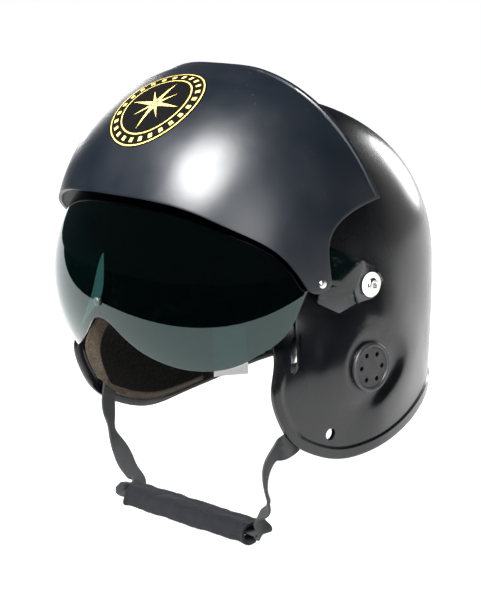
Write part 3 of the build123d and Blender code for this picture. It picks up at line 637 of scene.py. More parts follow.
# The plan's middle at the waist, how far forward it moves by the crown, and how round the form is
WAIST_MIDDLE, MIDDLE_SHIFT = 6, 22
DOME_ROUNDNESS, PLAN_ROUNDNESS, FLAP_SQUARENESS = 2.5, 2.2, 8

# The skirt draws in over this depth, by these amounts at the sides, in front and behind
SKIRT_DEPTH, SIDE_TAPER, FRONT_TAPER, BACK_TAPER = 120, 2, 4, 9

# Swelling over the ear: how far it stands out, its middle in side view and its reach each way
EAR_SWELL, SWELL_Y, SWELL_LEVEL, SWELL_LONG, SWELL_HIGH = 5.5, -6, -64, 40, 32

# Setbacks of the rows along the flared rim, how far it stands out, and where it fades inwards and upwards
RIM_SETBACKS = [0, 2.2, 4.6, 6.4, 8.2, 10, 12.5]
RIM_FLARE, FLARE_ENDS, FLARE_TOP = 1.3, (6.2, 8.4), (-46, -36)


def skirt_sizes(level, inset):
    """Half width, front reach, back reach and middle of the shell at one level."""
    level = np.asarray(level, float)
    height = np.clip((level - WAIST) / (DOME_RISE - inset), 0, 0.99999)
    taper = (np.clip(WAIST - level, 0, None) / SKIRT_DEPTH) ** 2
    size = (1 - height**DOME_ROUNDNESS) ** (1 / DOME_ROUNDNESS)
    return (
        (HALF_WIDTH - inset) * size - SIDE_TAPER * taper,
        (FRONT_REACH - inset) * size - FRONT_TAPER * taper,
        (BACK_REACH - inset) * size - BACK_TAPER * taper,
        WAIST_MIDDLE - MIDDLE_SHIFT * height**2,
    )


def roundness_at(level, behind):
    """Roundness in plan: the front half turns squarer down the flaps."""
    drop = np.clip((WAIST - np.asarray(level, float)) / SKIRT_DEPTH, 0, 0.5)
    return np.where(behind, PLAN_ROUNDNESS, PLAN_ROUNDNESS + FLAP_SQUARENESS * (drop / 0.5) ** 4)


def ear_bulge(y, level):
    """How far the shell swells out over the ear."""
    across, up = (y - SWELL_Y) / SWELL_LONG, (level - SWELL_LEVEL) / SWELL_HIGH
    return EAR_SWELL * np.exp(-(across**2) - up**2)


def shell_at(turn, run, inset=0.0, relief=None):
    """A point of the shell: turn from -90 degrees in front to 90 behind, run down from the crown."""
    turn, run = np.asarray(turn, float), np.asarray(run, float)
    rise = np.clip(1 - run / WAIST_RUN, 0, 1) * QUARTER_TURN
    dome = (DOME_RISE - inset) * np.sin(rise) ** (2 / DOME_ROUNDNESS)
    level = WAIST + dome - np.clip(run - WAIST_RUN, 0, None)
    half_width, front, back, middle = skirt_sizes(level, inset)
    to_plan = 2 / PLAN_ROUNDNESS
    wide, deep = np.clip(np.cos(turn), 0, 1) ** to_plan, np.abs(np.sin(turn)) ** to_plan
    behind = turn > 0
    power = roundness_at(level, behind)
    spread = (wide**power + deep**power) ** (-1 / power)
    y = middle + np.where(behind, back, -front) * deep * spread
    across = wide * spread
    x = (half_width + ear_bulge(y, level)) * across
    if relief is not None:
        x = x + relief(y, level) * across
    return np.stack([x, y, level], -1)


def shell_place(y, level, inset=0.0):
    """The turn and run of a place in side view."""
    y, level = np.asarray(y, float), np.asarray(level, float)
    height = np.clip((level - WAIST) / (DOME_RISE - inset), 0, 1)
    rise = np.arcsin(height ** (DOME_ROUNDNESS / 2))
    run = (1 - rise / QUARTER_TURN) * WAIST_RUN + np.clip(WAIST - level, 0, None)
    half_width, front, back, middle = skirt_sizes(level, inset)
    along = np.clip(np.abs(y - middle) / np.where(y > middle, back, front), 0, 1)
    power = roundness_at(level, y > middle)
    wide = (1 - along**power) ** (1 / power)
    from_plan = PLAN_ROUNDNESS / 2
    return np.sign(y - middle) * np.arctan2(along**from_plan, wide**from_plan), run


def side_at(y, level, inset=0.0):
    """Half width of the shell at a place in side view, with the place held inside its reach."""
    half_width, front, back, middle = skirt_sizes(level, inset)
    along = np.abs(y - middle) / np.where(y > middle, back, front)
    power = roundness_at(level, y > middle)
    return (half_width + ear_bulge(y, level)) * np.clip(1 - along**power, 0, None) ** (1 / power)


# The shell's lower edge in side view, from the brow down the flap's front and along to the nape
LOWER_EDGE = [
    (-92, 51), (-64, 18), (-61.5, -18), (-65, -45), (-73.5, -68), (-67.5, -89), (-56.6, -104.5),
    (-36, -116.5), (-13.4, -122.7), (28.6, -117.9), (60, -108.5), (96, -95), (150, -82),
]


def moved_edge(setback):
    """The lower edge in side view, moved in by the setback, as a fine polyline."""
    moved = []
    for place, (y, z) in enumerate(LOWER_EDGE):
        y0, z0 = LOWER_EDGE[max(place - 1, 0)]
        y1, z1 = LOWER_EDGE[min(place + 1, len(LOWER_EDGE) - 1)]
        run = math.hypot(y1 - y0, z1 - z0)
        moved.append((y - setback * (z1 - z0) / run, z + setback * (y1 - y0) / run))
    return smooth_path(moved)(np.linspace(0, 1, 1200))


def edge_loop():
    """Turn and run along the whole lower edge of one half, from the brow's middle to the nape."""
    edge = moved_edge(0)
    brow_turn, brow_run = shell_place(*edge[0])
    front = np.stack([np.linspace(-QUARTER_TURN, float(brow_turn), 200), np.full(200, float(brow_run))], -1)
    turn, run = shell_place(edge[:, 0], edge[:, 1])
    last = np.argmax(turn > QUARTER_TURN - 0.004)
    turn, run = turn[: last + 1].copy(), run[: last + 1]
    turn[-1] = QUARTER_TURN
    return np.concatenate([front[:-1], np.stack([turn, run], -1)])


# Moulded ridge behind the ear, as angle round the ear plate in degrees and distance from it
RIDGE_ANGLES = [-79, -61, -45, -25, -12, 0, 7, 19, 31, 50, 73, 90]
RIDGE_REACHES = [33, 31, 31.5, 34.5, 38, 40.5, 41, 38.5, 35, 32.5, 33.5, 37]

# How far the ridge, the shoulder of the ear cup and the panel at its seam stand out
RIDGE_RISE, CUP_RISE, SEAM_RISE = 4.2, 1.3, 0.35

# How gently the ridge falls towards the ear and away from it, and the cup's middle in side view
RIDGE_NEAR, RIDGE_FAR = 8, 26
CUP_Y, CUP_LEVEL = -8, -56

# The panel's seam in side view
SEAM_PLACES = [-12, -1, 13, 24, 35, 44, 55, 66, 79, 86]
SEAM_LEVELS = [20, 17.4, 13.4, 8.2, 2.8, -3, -10, -18, -33, -54]
SEAM_START = -14


def side_relief(y, level):
    """Moulded relief round the ear: the cup's shoulder, the ridge behind it, and the panel's seam."""
    away_y, away_z = y - EAR_Y, level - EAR_LEVEL
    reach = np.hypot(away_y, away_z)
    angle = np.degrees(np.arctan2(away_z, away_y))
    from_crest = reach - np.interp(angle, RIDGE_ANGLES, RIDGE_REACHES)
    ridge = np.exp(-((from_crest / np.where(from_crest < 0, RIDGE_NEAR, RIDGE_FAR)) ** 2))
    window = ease(angle, -112, -62) * (1 - ease(angle, 70, 118))
    cup = 1 - ease(np.hypot(y - CUP_Y, (level - CUP_LEVEL) / 1.05), 22, 33)
    around_seat = ease(reach, 17.5, 25)
    above_seam = level - np.interp(y, SEAM_PLACES, SEAM_LEVELS)
    seam = ease(-above_seam, -1.2, 1.2) * ease(y, SEAM_START, 0) * (1 - ease(above_seam + 40, 0, 30))
    around_ear = (RIDGE_RISE * ridge * window + CUP_RISE * cup) * around_seat
    return around_ear + SEAM_RISE * seam * (y > SEAM_START)


def inward_steps(turn, run):
    """Steps of turn and run that go one millimetre into the shell from its edge, square to the edge."""
    place = shell_at(turn, run)
    by_turn = (shell_at(turn + 0.002, run) - shell_at(turn - 0.002, run)) / 0.004
    by_run = (shell_at(turn, run + 0.1) - shell_at(turn, run - 0.1)) / 0.2
    along = np.gradient(place, axis=0)
    inward = np.cross(np.cross(by_turn, by_run), along)
    inward *= -np.sign((inward[5] * by_run[5]).sum())
    inward /= np.linalg.norm(inward, axis=1)[:, None]
    a, b, c = ((p * q).sum(1) for p, q in ((by_turn, by_turn), (by_turn, by_run), (by_run, by_run)))
    to_turn, to_run = (inward * by_turn).sum(1), (inward * by_run).sum(1)
    size = a * c - b * b
    steps = [(c * to_turn - b * to_run) / size, (a * to_run - b * to_turn) / size]
    steps[0][:4] = steps[0][-4:] = 0
    steps[1][:4] = steps[1][-4:] = -1 / np.sqrt(c[[0, 0, 0, 0]])
    steps[1][-4:] = -1 / np.sqrt(c[-4:])
    for _ in range(5):
        steps = [np.convolve(np.pad(step, 1, mode="edge"), [0.25, 0.5, 0.25], "valid") for step in steps]
    steps[0][0] = steps[0][-1] = 0
    return steps


def make_shell(paint):
    """Hard shell: one formed sheet with its flared rim, doubled to its wall, with its bores."""
    loop = edge_loop()
    girth = np.clip(np.sin(np.clip(loop[:, 1] / WAIST_RUN, 0, 1) * QUARTER_TURN), 0.05, 1)
    real = np.stack([loop[:, 0] * MEAN_RADIUS * girth, loop[:, 1]], -1)
    run = run_along(real)
    shares = run / run[-1]
    setbacks = np.array(RIM_SETBACKS)
    columns, rim_rows = 186, len(setbacks)
    wanted = np.linspace(0, 1, columns + 1)
    turn_b = np.interp(wanted, shares, loop[:, 0])
    run_b = np.interp(wanted, shares, loop[:, 1])
    in_turn, in_run = inward_steps(turn_b, run_b)
    inner_run = 70.0
    even = np.linspace(-QUARTER_TURN, QUARTER_TURN, columns + 1)
    inner_turn = 0.45 * even + 0.55 * turn_b
    middle_rows, top_rows = 70, 14
    rows = rim_rows - 1 + middle_rows + top_rows

    def place(u, v):
        column = np.rint(u * columns).astype(int)
        row = np.rint(v * rows).astype(int)
        step = np.minimum(row, rim_rows - 1)
        back_off = setbacks[step]
        turn_r = turn_b[column] + in_turn[column] * back_off
        run_r = run_b[column] + in_run[column] * back_off
        middle = np.clip((row - rim_rows + 1) / middle_rows, 0, 1)
        start = np.stack([run_r * np.cos(turn_r), run_r * np.sin(turn_r)], -1)
        end = inner_run * np.stack([np.cos(inner_turn[column]), np.sin(inner_turn[column])], -1)
        ahead = np.stack([
            in_run[column] * np.cos(turn_r) - run_r * in_turn[column] * np.sin(turn_r),
            in_run[column] * np.sin(turn_r) + run_r * in_turn[column] * np.cos(turn_r),
        ], -1)
        ahead *= 0.5 * (np.linalg.norm(end - start, axis=1) / np.linalg.norm(ahead, axis=1))[:, None]
        m = middle[:, None]
        flat = start + (end - start) * m + (ahead - 0.5 * (end - start)) * m * (1 - m) ** 2
        top = np.clip((row - rim_rows + 1 - middle_rows) / top_rows, 0, 1)
        flat = flat * (1 - top)[:, None]
        run_here = np.hypot(flat[:, 0], flat[:, 1])
        turn_here = np.where(run_here > 1e-6, np.arctan2(flat[:, 1], flat[:, 0]), 0)
        turn_here[column == 0] = -QUARTER_TURN
        turn_here[column == columns] = QUARTER_TURN
        low = 1 - ease(shell_at(turn_here, run_here)[:, 2], *FLARE_TOP)
        raised = RIM_FLARE * (1 - ease(back_off, *FLARE_ENDS)) * low * (row < rim_rows)
        return shell_at(turn_here, run_here, -raised, side_relief)

    half = sheet_of("helmet_shell_form", columns, rows, place)
    joined_up(half)
    mirrored(half)
    modify(half, "SOLIDIFY", thickness=SHELL_WALL * MM, offset=-1)
    seat_depth, recess_depth = 8, 10
    for side in (1, -1):
        bpy.ops.mesh.primitive_cylinder_add(vertices=96, radius=SEAT_RADIUS * MM, depth=seat_depth * MM)
        seat = bpy.context.object
        placed_along(seat, (side * (EAR_SEAT - seat_depth / 2), EAR_Y, EAR_LEVEL), (1, 0, 0))
        modify(half, "BOOLEAN", operation="UNION", object=seat, solver="EXACT")
        bpy.data.objects.remove(seat)
        bored(half, (side * (EAR_SEAT - seat_depth / 2), EAR_Y, EAR_LEVEL), EAR_BORE, 3 * seat_depth)
        bored(half, (side * 100, FLAP_HOLE_Y, FLAP_HOLE_LEVEL), FLAP_BORE, 40)
        recess_middle = side * (RECESS_FLOOR + recess_depth / 2)
        bored(half, (recess_middle, PIVOT_Y, PIVOT_Z), PIVOT_RECESS, recess_depth)
        bored(half, (side * 104, PIVOT_Y, PIVOT_Z), PIVOT_BORE, 20)
    round_edges(half, 0.7, 2, 50)
    smooth(half, 30)
    finish_piece(half, "helmet", "shell", "helmet_shell", materials=[paint])


# Visor cover and lens: forms of revolution about lines along X, flattened at their sides

COVER_FORM = (118, 122, 2.5, -10, 16)
COVER_WALL, LIP_RISE = 2.2, 1.1
COVER_FRONT = [(-150, 56.5), (-125.6, 55.2), (-102, 41.3), (-74, 23.6), (-51, -2.6)]
COVER_TAB = [(-51, -2.6), (-47.5, -5.4), (-42.4, -6.3), (-36.5, -4.9), (-32, -1)]
COVER_HOLLOW = [(-32, -1), (-34.8, 14.1), (-33.6, 29.5), (-15.5, 44.5), (12.2, 51.9)]
LIP_TOP, LIP_END = (-29, 144), (12.2, 51.9)
PATCH_RADIUS, PATCH_RISE, PATCH_THICKNESS, PATCH_STANDOFF = 37, 52, 0.4, 0.45

LENS_FORM = (109.55, 97.5, 2.3, -38, -5)
LENS_WALL = 1.8
LENS_LOBE = [(7.5, -29), (17, -36), (30.5, -46.4), (44, -53), (66, -57.4), (84, -53.6), (97.4, -43.9)]
LENS_NOTCH = (0, -27)
LENS_SIDE = [(-74.2, -43.9), (-65.8, -37.6), (-58.4, -28), (-51.2, -12.6), (-47.3, -5.1)]
LENS_ARM_LOW, LENS_ARM_HIGH = (-42, -4.5), (-42, 10.5)
ARM_RADIUS, ARM_BORE, ARM_REACH, ARM_LIFT = 7.5, 3.26, 50.5, 9
KNOB_BORE = 1.5
LENS_TOP = [(-115, 55.5), (-75, 33.5), (-54, 17)]
KNOB_DROP = -11


class RoundForm:
    """Half width, radius, roundness and middle of a form; a place in side view gives its half width."""

    def __init__(self, half_width, radius, roundness, middle_y, middle_z):
        self.half_width, self.radius, self.roundness = half_width, radius, roundness
        self.middle = np.array([middle_y, middle_z])

    def flat(self, side_view):
        """Side view places, spread so that the middle line of the form is a circle."""
        away = np.asarray(side_view, float) - self.middle
        reach = np.hypot(away[:, 0], away[:, 1])
        spread = np.arcsin(np.clip(reach / self.radius, 0, 1) ** (self.roundness / 2))
        return away / np.maximum(reach, 1e-9)[:, None] * spread[:, None]

    def from_front(self, x, z):
        """Spread places of front view points on the form's front."""
        reach = self.radius * (1 - np.abs(x / self.half_width) ** self.roundness) ** (1 / self.roundness)
        y = self.middle[0] - np.sqrt(np.clip(reach**2 - (z - self.middle[1]) ** 2, 0, None))
        return self.flat(np.stack([y, z], -1))

    def at(self, flat, raised=0.0):
        """Points of the form at spread places, raised along with the form's sizes."""
        spread = np.clip(np.hypot(flat[:, 0], flat[:, 1]), 0, QUARTER_TURN)
        way = flat / np.maximum(spread, 1e-9)[:, None]
        reach = (self.radius + raised) * np.sin(spread) ** (2 / self.roundness)
        x = (self.half_width + raised) * np.clip(np.cos(spread), 0, 1) ** (2 / self.roundness)
        side = self.middle + way * reach[:, None]
        return np.column_stack([x, side])

    def held_to_middle(self, flat, on_line):
        """Spread places, with those that belong on the middle line put exactly there."""
        flat[on_line] *= (QUARTER_TURN / np.hypot(*flat[on_line].T))[:, None]
        return flat

    def cut_at_middle(self, line):
        """The part of a side view polyline inside the form, ended on the middle line."""
        line = np.asarray(line, float)
        reach = np.hypot(*(line - self.middle).T)
        inside = np.nonzero(reach <= self.radius)[0]
        first = inside[0]
        if first > 0:
            a, b = line[first - 1], line[first]
            share = (reach[first - 1] - self.radius) / (reach[first - 1] - reach[first])
            return np.concatenate([[a + (b - a) * share], line[first:]])
        return line[inside]

    def middle_arc(self, start, end):
        """Spread places along the middle line between two of them."""
        a, b = (math.atan2(p[1], p[0]) % (2 * math.pi) for p in (start, end))
        turn = np.linspace(a, b, 200)
        return QUARTER_TURN * np.stack([np.cos(turn), np.sin(turn)], -1)


def straight(*points):
    return evenly(np.asarray(points, float), 300)


def make_cover(paint):
    """Visor cover: a formed sheet with a raised rear lip and rounded tabs, doubled to its wall."""
    form = RoundForm(*COVER_FORM)
    front = smooth_path(COVER_FRONT)(np.linspace(0, 1, 500))
    arc = smooth_path(COVER_TAB)(np.linspace(0, 1, 80))
    hollow = smooth_path(COVER_HOLLOW)(np.linspace(0, 1, 300))
    lip = straight(LIP_TOP, LIP_END)
    left = form.held_to_middle(form.flat(form.cut_at_middle(front)), [0])
    right = form.held_to_middle(form.flat(form.cut_at_middle(lip)), [0])
    top = form.flat(np.concatenate([arc, hollow[1:]]))
    bottom = form.middle_arc(left[0], right[0])
    inside = patch_between(bottom, top, left, right)
    columns, rows = 96, 84
    slope = math.atan2(LIP_TOP[1] - LIP_END[1], LIP_TOP[0] - LIP_END[0])
    normal = np.array([math.sin(slope), -math.cos(slope)])

    def place(u, v):
        u = 1 - (1 - u) ** 1.35
        flat = form.held_to_middle(inside(u, v), v == 0)
        points = form.at(flat)
        from_lip = np.abs((points[:, 1:] - np.array(LIP_END)) @ normal)
        raised = LIP_RISE * (1 - ease(from_lip, 2.0, 3.4)) * (0.15 + 0.85 * ease(points[:, 0], 6, 40))
        return form.at(flat, raised)

    cover = sheet_of("visor_cover_form", columns, rows, place)
    joined_up(cover)
    mirrored(cover)
    modify(cover, "SOLIDIFY", thickness=COVER_WALL * MM, offset=-1)
    round_edges(cover, 0.6, 2, 50)
    smooth(cover, 35)
    finish_piece(cover, "visor_cover_unit", "cover", "visor_cover", materials=[paint])


def make_emblem(material):
    """Round patch that follows the cover, with its map square to the patch."""
    half_width, radius, *rest = COVER_FORM
    form = RoundForm(half_width + PATCH_STANDOFF, radius + PATCH_STANDOFF, *rest)
    rise = math.radians(PATCH_RISE)
    up = np.array([math.sin(rise), math.cos(rise)])
    out = np.array([-math.cos(rise), math.sin(rise)])

    def place(u, v):
        reach, turn = PATCH_RADIUS * v, 2 * math.pi * u
        a, b = reach * np.cos(turn), reach * np.sin(turn)
        roundness = form.roundness
        radius = form.radius * (1 - np.abs(a / form.half_width) ** roundness) ** (1 / roundness)
        side = form.middle + b[:, None] * up + np.sqrt(radius**2 - b**2)[:, None] * out
        return np.column_stack([a, side])

    patch = sheet_of("emblem_patch_form", 96, 24, place)
    joined_up(patch)
    modify(patch, "SOLIDIFY", thickness=PATCH_THICKNESS * MM, offset=-1)
    layer = patch.data.uv_layers.active.data
    for loop in patch.data.loops:
        x, y, z = patch.data.vertices[loop.vertex_index].co / MM
        b = (y - form.middle[0]) * up[0] + (z - form.middle[1]) * up[1]
        layer[loop.index].uv = (0.5 + x / (2 * PATCH_RADIUS), 0.5 + b / (2 * PATCH_RADIUS))
    smooth(patch, 40)
    finish_piece(patch, "visor_cover_unit", "emblem", "emblem_patch", materials=[material])


def make_lens(material):
    """Tinted lens with its nose notch and two lobes, and a flat arm to each pivot."""
    form = RoundForm(*LENS_FORM)
    whole = [(-x, z) for x, z in reversed(LENS_LOBE)] + [LENS_NOTCH] + LENS_LOBE
    lower = smooth_path(whole)(np.linspace(0, 1, 1201))[600:]
    left = form.held_to_middle(form.from_front(lower[:, 0], lower[:, 1]), [0])
    rear = smooth_path(LENS_SIDE)(np.linspace(0, 1, 200))
    rear = np.concatenate([rear, straight(LENS_SIDE[-1], LENS_ARM_LOW, LENS_ARM_HIGH)[1:]])
    right = form.held_to_middle(form.flat(form.cut_at_middle(straight(*LENS_TOP, LENS_ARM_HIGH))), [0])
    top = form.flat(rear)
    top[0] = left[-1]
    bottom = form.middle_arc(left[0], right[0])
    inside = patch_between(bottom, top, left, right)

    def place(u, v):
        return form.at(form.held_to_middle(inside(u, v), v == 0))

    lens = sheet_of("tinted_lens_form", 72, 90, place)
    joined_up(lens)
    mirrored(lens)
    modify(lens, "SOLIDIFY", thickness=LENS_WALL * MM, offset=-1)
    knob_way = (0, -math.cos(math.asin(KNOB_DROP / form.radius)), KNOB_DROP / form.radius)
    knob_reach = form.radius - 0.5
    knob_place = (0, form.middle[0] + knob_way[1] * knob_reach, form.middle[1] + knob_way[2] * knob_reach)
    bored(lens, knob_place, KNOB_BORE, 8, knob_way)
    arms = [make_arm(side) for side in (1, -1)]
    only(lens, *arms)
    bpy.ops.object.join()
    round_edges(lens, 0.4, 2, 50)
    smooth(lens, 35)
    finish_piece(lens, "visor_lens", "lens", "tinted_lens", materials=[material])


def make_arm(side):
    """Flat arm from the lens's side to the pivot, round at the pivot and square to the lens."""
    bpy.ops.mesh.primitive_circle_add(vertices=64, radius=ARM_RADIUS * MM, fill_type="NOTHING")
    arm = bpy.context.object

    def fill():
        bpy.ops.mesh.extrude_region()
        bpy.ops.transform.resize(value=(ARM_BORE / ARM_RADIUS,) * 3)

    edit(arm, fill)
    for vertex in arm.data.vertices:
        a, b, _ = vertex.co / MM
        outside = math.hypot(a, b) > 5
        if outside and a < 0:
            share = min(1, -a / ARM_RADIUS * 1.6)
            y = PIVOT_Y - ARM_REACH * share
            spread = (math.copysign(ARM_RADIUS, b) - b) * min(1, share * 1.2) * (abs(b) > 0.01)
            z = PIVOT_Z + ARM_LIFT * share + b + spread
            if share == 1:
                z = PIVOT_Z + ARM_LIFT + ARM_RADIUS * max(-1, min(1, b / 5.86))
        else:
            y, z = PIVOT_Y + a, PIVOT_Z + b
        vertex.co = Vector((side * LENS_FORM[0], y, z)) * MM
    joined_up(arm)
    turned = side * (1 if arm.data.polygons[0].normal.x > 0 else -1)
    if turned < 0:
        edit(arm, lambda: bpy.ops.mesh.flip_normals())
    modify(arm, "SOLIDIFY", thickness=LENS_WALL * MM, offset=-1)
    return arm


# Small hard parts: finished copies of the solids, with their edges broken


def finished_copy(node, body, slot, material, width, flat=True):
    """A copy of a solid, with its doubled points merged and its edges rounded."""
    piece = bpy.data.objects.new(node + "_part", frame["nodes"][node].data.copy())
    bpy.context.scene.collection.objects.link(piece)
    if piece.data.has_custom_normals:
        only(piece)
        bpy.ops.mesh.customdata_custom_splitnormals_clear()
    edit(piece, lambda: bpy.ops.mesh.remove_doubles(threshold=0.00001))
    if flat:
        edit(piece, lambda: bpy.ops.mesh.dissolve_limited(angle_limit=math.radians(1.5)))
    if width:
        round_edges(piece, width, 2, 35)
    smooth(piece, 30)
    finish_piece(piece, body, slot, node, materials=[material])
    return piece


def make_small_parts():
    dark_plastic = moulded("ear_plate_plastic", (0.008, 0.008, 0.009), (0.016, 0.016, 0.017), 0.38)
    ring_plastic = moulded("ear_ring_plastic", (0.012, 0.012, 0.013), (0.022, 0.022, 0.024), 0.34)
    white_washer = moulded("pale_washer", (0.6, 0.61, 0.6), (0.8, 0.8, 0.79), 0.3)
    knob_plastic = moulded("knob_plastic", (0.02, 0.03, 0.03), (0.04, 0.055, 0.05), 0.35)
    bright = metal("bright_rivet", (0.9, 0.88, 0.84), 0.2)
    dark_metal = metal("dark_rivet", (0.05, 0.05, 0.055), 0.35)
    smoke_and_painted_shade = bracket_glass()
    for side in ("left_", "right_"):
        finished_copy(side + "ear_ring", "helmet", "shell", ring_plastic, 0.35)
        finished_copy(side + "ear_plate", "helmet", "shell", dark_plastic, 0, flat=False)
        finished_copy(side + "pivot_spacer", "helmet", "spacer", white_washer, 0.2)
        finished_copy(side + "pivot_washer", "helmet", "spacer", white_washer, 0.25)
        finished_copy(side + "pivot_rivet", "helmet", "rivet_metal", bright, 0.2)
        finished_copy(side + "bracket", "visor_cover_unit", "bracket", smoke_and_painted_shade, 0.3)
    finished_copy("cover_rivets", "visor_cover_unit", "rivet_metal", bright, 0)
    finished_copy("strap_rivets", "helmet", "rivet_metal", dark_metal, 0.3)
    finished_copy("lens_knob", "visor_lens", "knob", knob_plastic, 0.2)
    finished_copy("knob_nut", "visor_lens", "knob", knob_plastic, 0.2)


# Padding

PAD_TOP, PAD_SPLIT, NECK_START, PAD_CORNER = -16.3, 39.7, 40.4, (-52, -98)
EAR_HOLLOW_FLOOR, FOAM_LUMPS = 1.6, 0.25
ANCHOR_Y, ANCHOR_LEVEL = -47.0, -90.0
LINING_THICKNESS, LINING_TOP = 11.0, 6
TAG_WIDTH, TAG_HEIGHT, TAG_Y, TAG_LOW, TAG_THICKNESS = 26.0, 36.0, 42.0, -105.5, 0.5


def padded_form(name, columns, rows, outer, inner, side=0):
    """A pad from an outer and an inner sheet of one layout, bridged round their edges."""
    front = sheet_of(name, columns, rows, outer)
    back = sheet_of(name + "_inner", columns, rows, inner)
    for piece in (front, back):
        if side:
            for vertex in piece.data.vertices:
                vertex.co.x *= side
    only(front, back)
    bpy.ops.object.join()

    def close():
        bpy.ops.mesh.select_all(action="DESELECT")
        bpy.ops.mesh.select_non_manifold(
            extend=False, use_wire=False, use_multi_face=False, use_non_contiguous=False, use_verts=False,
        )
        bpy.ops.mesh.bridge_edge_loops()

    before = len(front.data.polygons)
    edit(front, close)
    for polygon in front.data.polygons[before:]:
        polygon.material_index = 1
    edit(front, lambda: bpy.ops.mesh.normals_make_consistent(inside=False))
    return front


def edge_share(u, v, width_u, width_v):
    """0 at a pad's edge and 1 inside it."""
    return ease(np.minimum(np.minimum(u, 1 - u) / width_u, np.minimum(v, 1 - v) / width_v), 0, 1)


def lumps(y, z, size):
    """Slow unevenness of hand-cut foam."""
    return size * (np.sin(y / 11 + 1.3) * np.sin(z / 13 + 0.4) + 0.5 * np.sin(y / 5.3 + z / 7.1))


def make_ear_pad(side, name, materials):
    """Foam inside one flap, thin at its edges, hollow at the ear and open round the strap's end."""
    edge = moved_edge(6)
    start = np.argmax(edge[:, 1] < PAD_TOP)
    corner = np.argmin(np.hypot(*(edge - np.array(PAD_CORNER)).T))
    last = np.argmax((edge[:, 0] > PAD_SPLIT) & (edge[:, 1] < -60))
    left = edge[start : corner + 1][::-1]
    bottom = edge[corner : last + 1]
    bottom[-1, 0] = PAD_SPLIT
    top = straight(left[-1], (PAD_SPLIT, left[-1][1]))
    right = straight(bottom[-1], top[-1])
    inside = patch_between(bottom, top, left, right)
    columns, rows = 78, 68

    def pocket(y, z, blend_y, blend_z):
        """1 where the strap's end lies, and 0 away from it."""
        return (1 - ease(np.abs(y - ANCHOR_Y), 8.5, blend_y)) * (1 - ease(z - ANCHOR_LEVEL, 9, blend_z))

    def outer(u, v):
        y, z = inside(u, v).T
        return np.column_stack([side_at(y, z, PAD_FACE + 4.4 * pocket(y, z, 10, 11)), y, z])

    def inner(u, v):
        y, z = inside(u, v).T
        thick = PAD_THICKNESS * (0.22 + 0.78 * edge_share(u, v, 0.07, 0.07)) + lumps(y, z, FOAM_LUMPS)
        reach = np.hypot(y - EAR_Y, z - EAR_LEVEL)
        hollow = ease(reach, 22.5, 27.5)
        thick = thick * hollow + EAR_HOLLOW_FLOOR * (1 - hollow)
        thick = thick + 0.8 * np.exp(-(((reach - 31) / 4) ** 2))
        thick = np.maximum(thick, 9.6 * pocket(y, z, 11, 12))
        return np.column_stack([side_at(y, z, PAD_FACE + thick), y, z])

    pad = padded_form(name + "_form", columns, rows, outer, inner, side)
    sheet_faces, cut_edge = columns * rows, 5
    for polygon in pad.data.polygons[sheet_faces : 2 * sheet_faces]:
        row, column = divmod(polygon.index - sheet_faces, columns)
        if row < cut_edge or column < cut_edge:
            polygon.material_index = 1
    if side > 0:
        bored(pad, (95, FLAP_HOLE_Y + 8.4, FLAP_HOLE_LEVEL - 2), 5.2, 44, (0.751, -0.641, 0.156))
    smooth(pad, 50)
    finish_piece(pad, "helmet", "foam", name, materials=materials)


def make_neck_pad(materials):
    """Foam round the nape, from one ear pad to the other."""
    edge = moved_edge(8)
    back = edge[np.argmax(edge[:, 0] > NECK_START) :]
    turn_low, run_low = shell_place(back[:, 0], back[:, 1])
    keep = turn_low < QUARTER_TURN - 0.01
    turn_low, run_low = turn_low[keep], run_low[keep]
    turn_low[-1] = QUARTER_TURN

    def wall(u, v, inset):
        turn = np.interp(np.abs(2 * u - 1), [0, 1], [QUARTER_TURN, turn_low[0]])
        low = np.interp(turn, turn_low, run_low)
        points = shell_at(turn, low + (WAIST_RUN + WAIST - PAD_TOP - low) * v, inset)
        points[:, 0] *= np.where(u < 0.5, 1, -1)
        return points

    def inner(u, v):
        thick = PAD_THICKNESS * (0.3 + 0.7 * edge_share(u, v, 0.04, 0.09))
        return wall(u, v, PAD_FACE + thick + lumps(200 * u, 80 * v, FOAM_LUMPS))

    pad = padded_form("neck_pad_form", 96, 36, lambda u, v: wall(u, v, PAD_FACE), inner)
    smooth(pad, 50)
    finish_piece(pad, "helmet", "foam", "neck_pad", materials=materials)


def make_crown_lining(materials):
    """Quilted dome with channels, from the brow to the level of the ears."""
    edge = moved_edge(8)
    keep = (edge[:, 1] > -16) & (edge[:, 0] < 0)
    brow_turn, brow_run = shell_place(edge[0][0], 56)
    turn, run = shell_place(edge[keep, 0], edge[keep, 1])
    side_run = WAIST_RUN + 6
    turns = np.concatenate([[-QUARTER_TURN, float(brow_turn)], turn, [turn[-1] + 0.02, QUARTER_TURN]])
    runs = np.concatenate([[float(brow_run), float(brow_run)], run, [side_run, side_run]])
    order = np.maximum.accumulate(turns + np.arange(len(turns)) * 1e-7)

    def wall(u, v, thickness):
        around = 2 * math.pi * u
        folded = np.where(around <= math.pi, around, 2 * math.pi - around) - QUARTER_TURN
        limit = np.interp(folded, order, runs)
        run_here = LINING_TOP + (limit - LINING_TOP) * v
        seams = np.minimum(np.abs(np.sin(around * 4)), np.abs(np.sin(v * math.pi * 3)) * 2 + (v < 0.12))
        channel = 1 - 0.32 * (1 - ease(seams, 0.0, 0.22)) * (v > 0.1)
        inset = PAD_FACE + thickness * channel * (0.55 + 0.45 * ease(1 - v, 0, 0.05))
        points = shell_at(folded, run_here, inset)
        points[:, 0] *= np.where(around <= math.pi, 1, -1)
        return points

    lining = padded_form(
        "crown_lining_form", 144, 56, lambda u, v: wall(u, v, 0), lambda u, v: wall(u, v, LINING_THICKNESS),
    )
    joined_up(lining)
    smooth(lining, 60)
    finish_piece(lining, "helmet", "foam", "crown_lining", materials=materials)


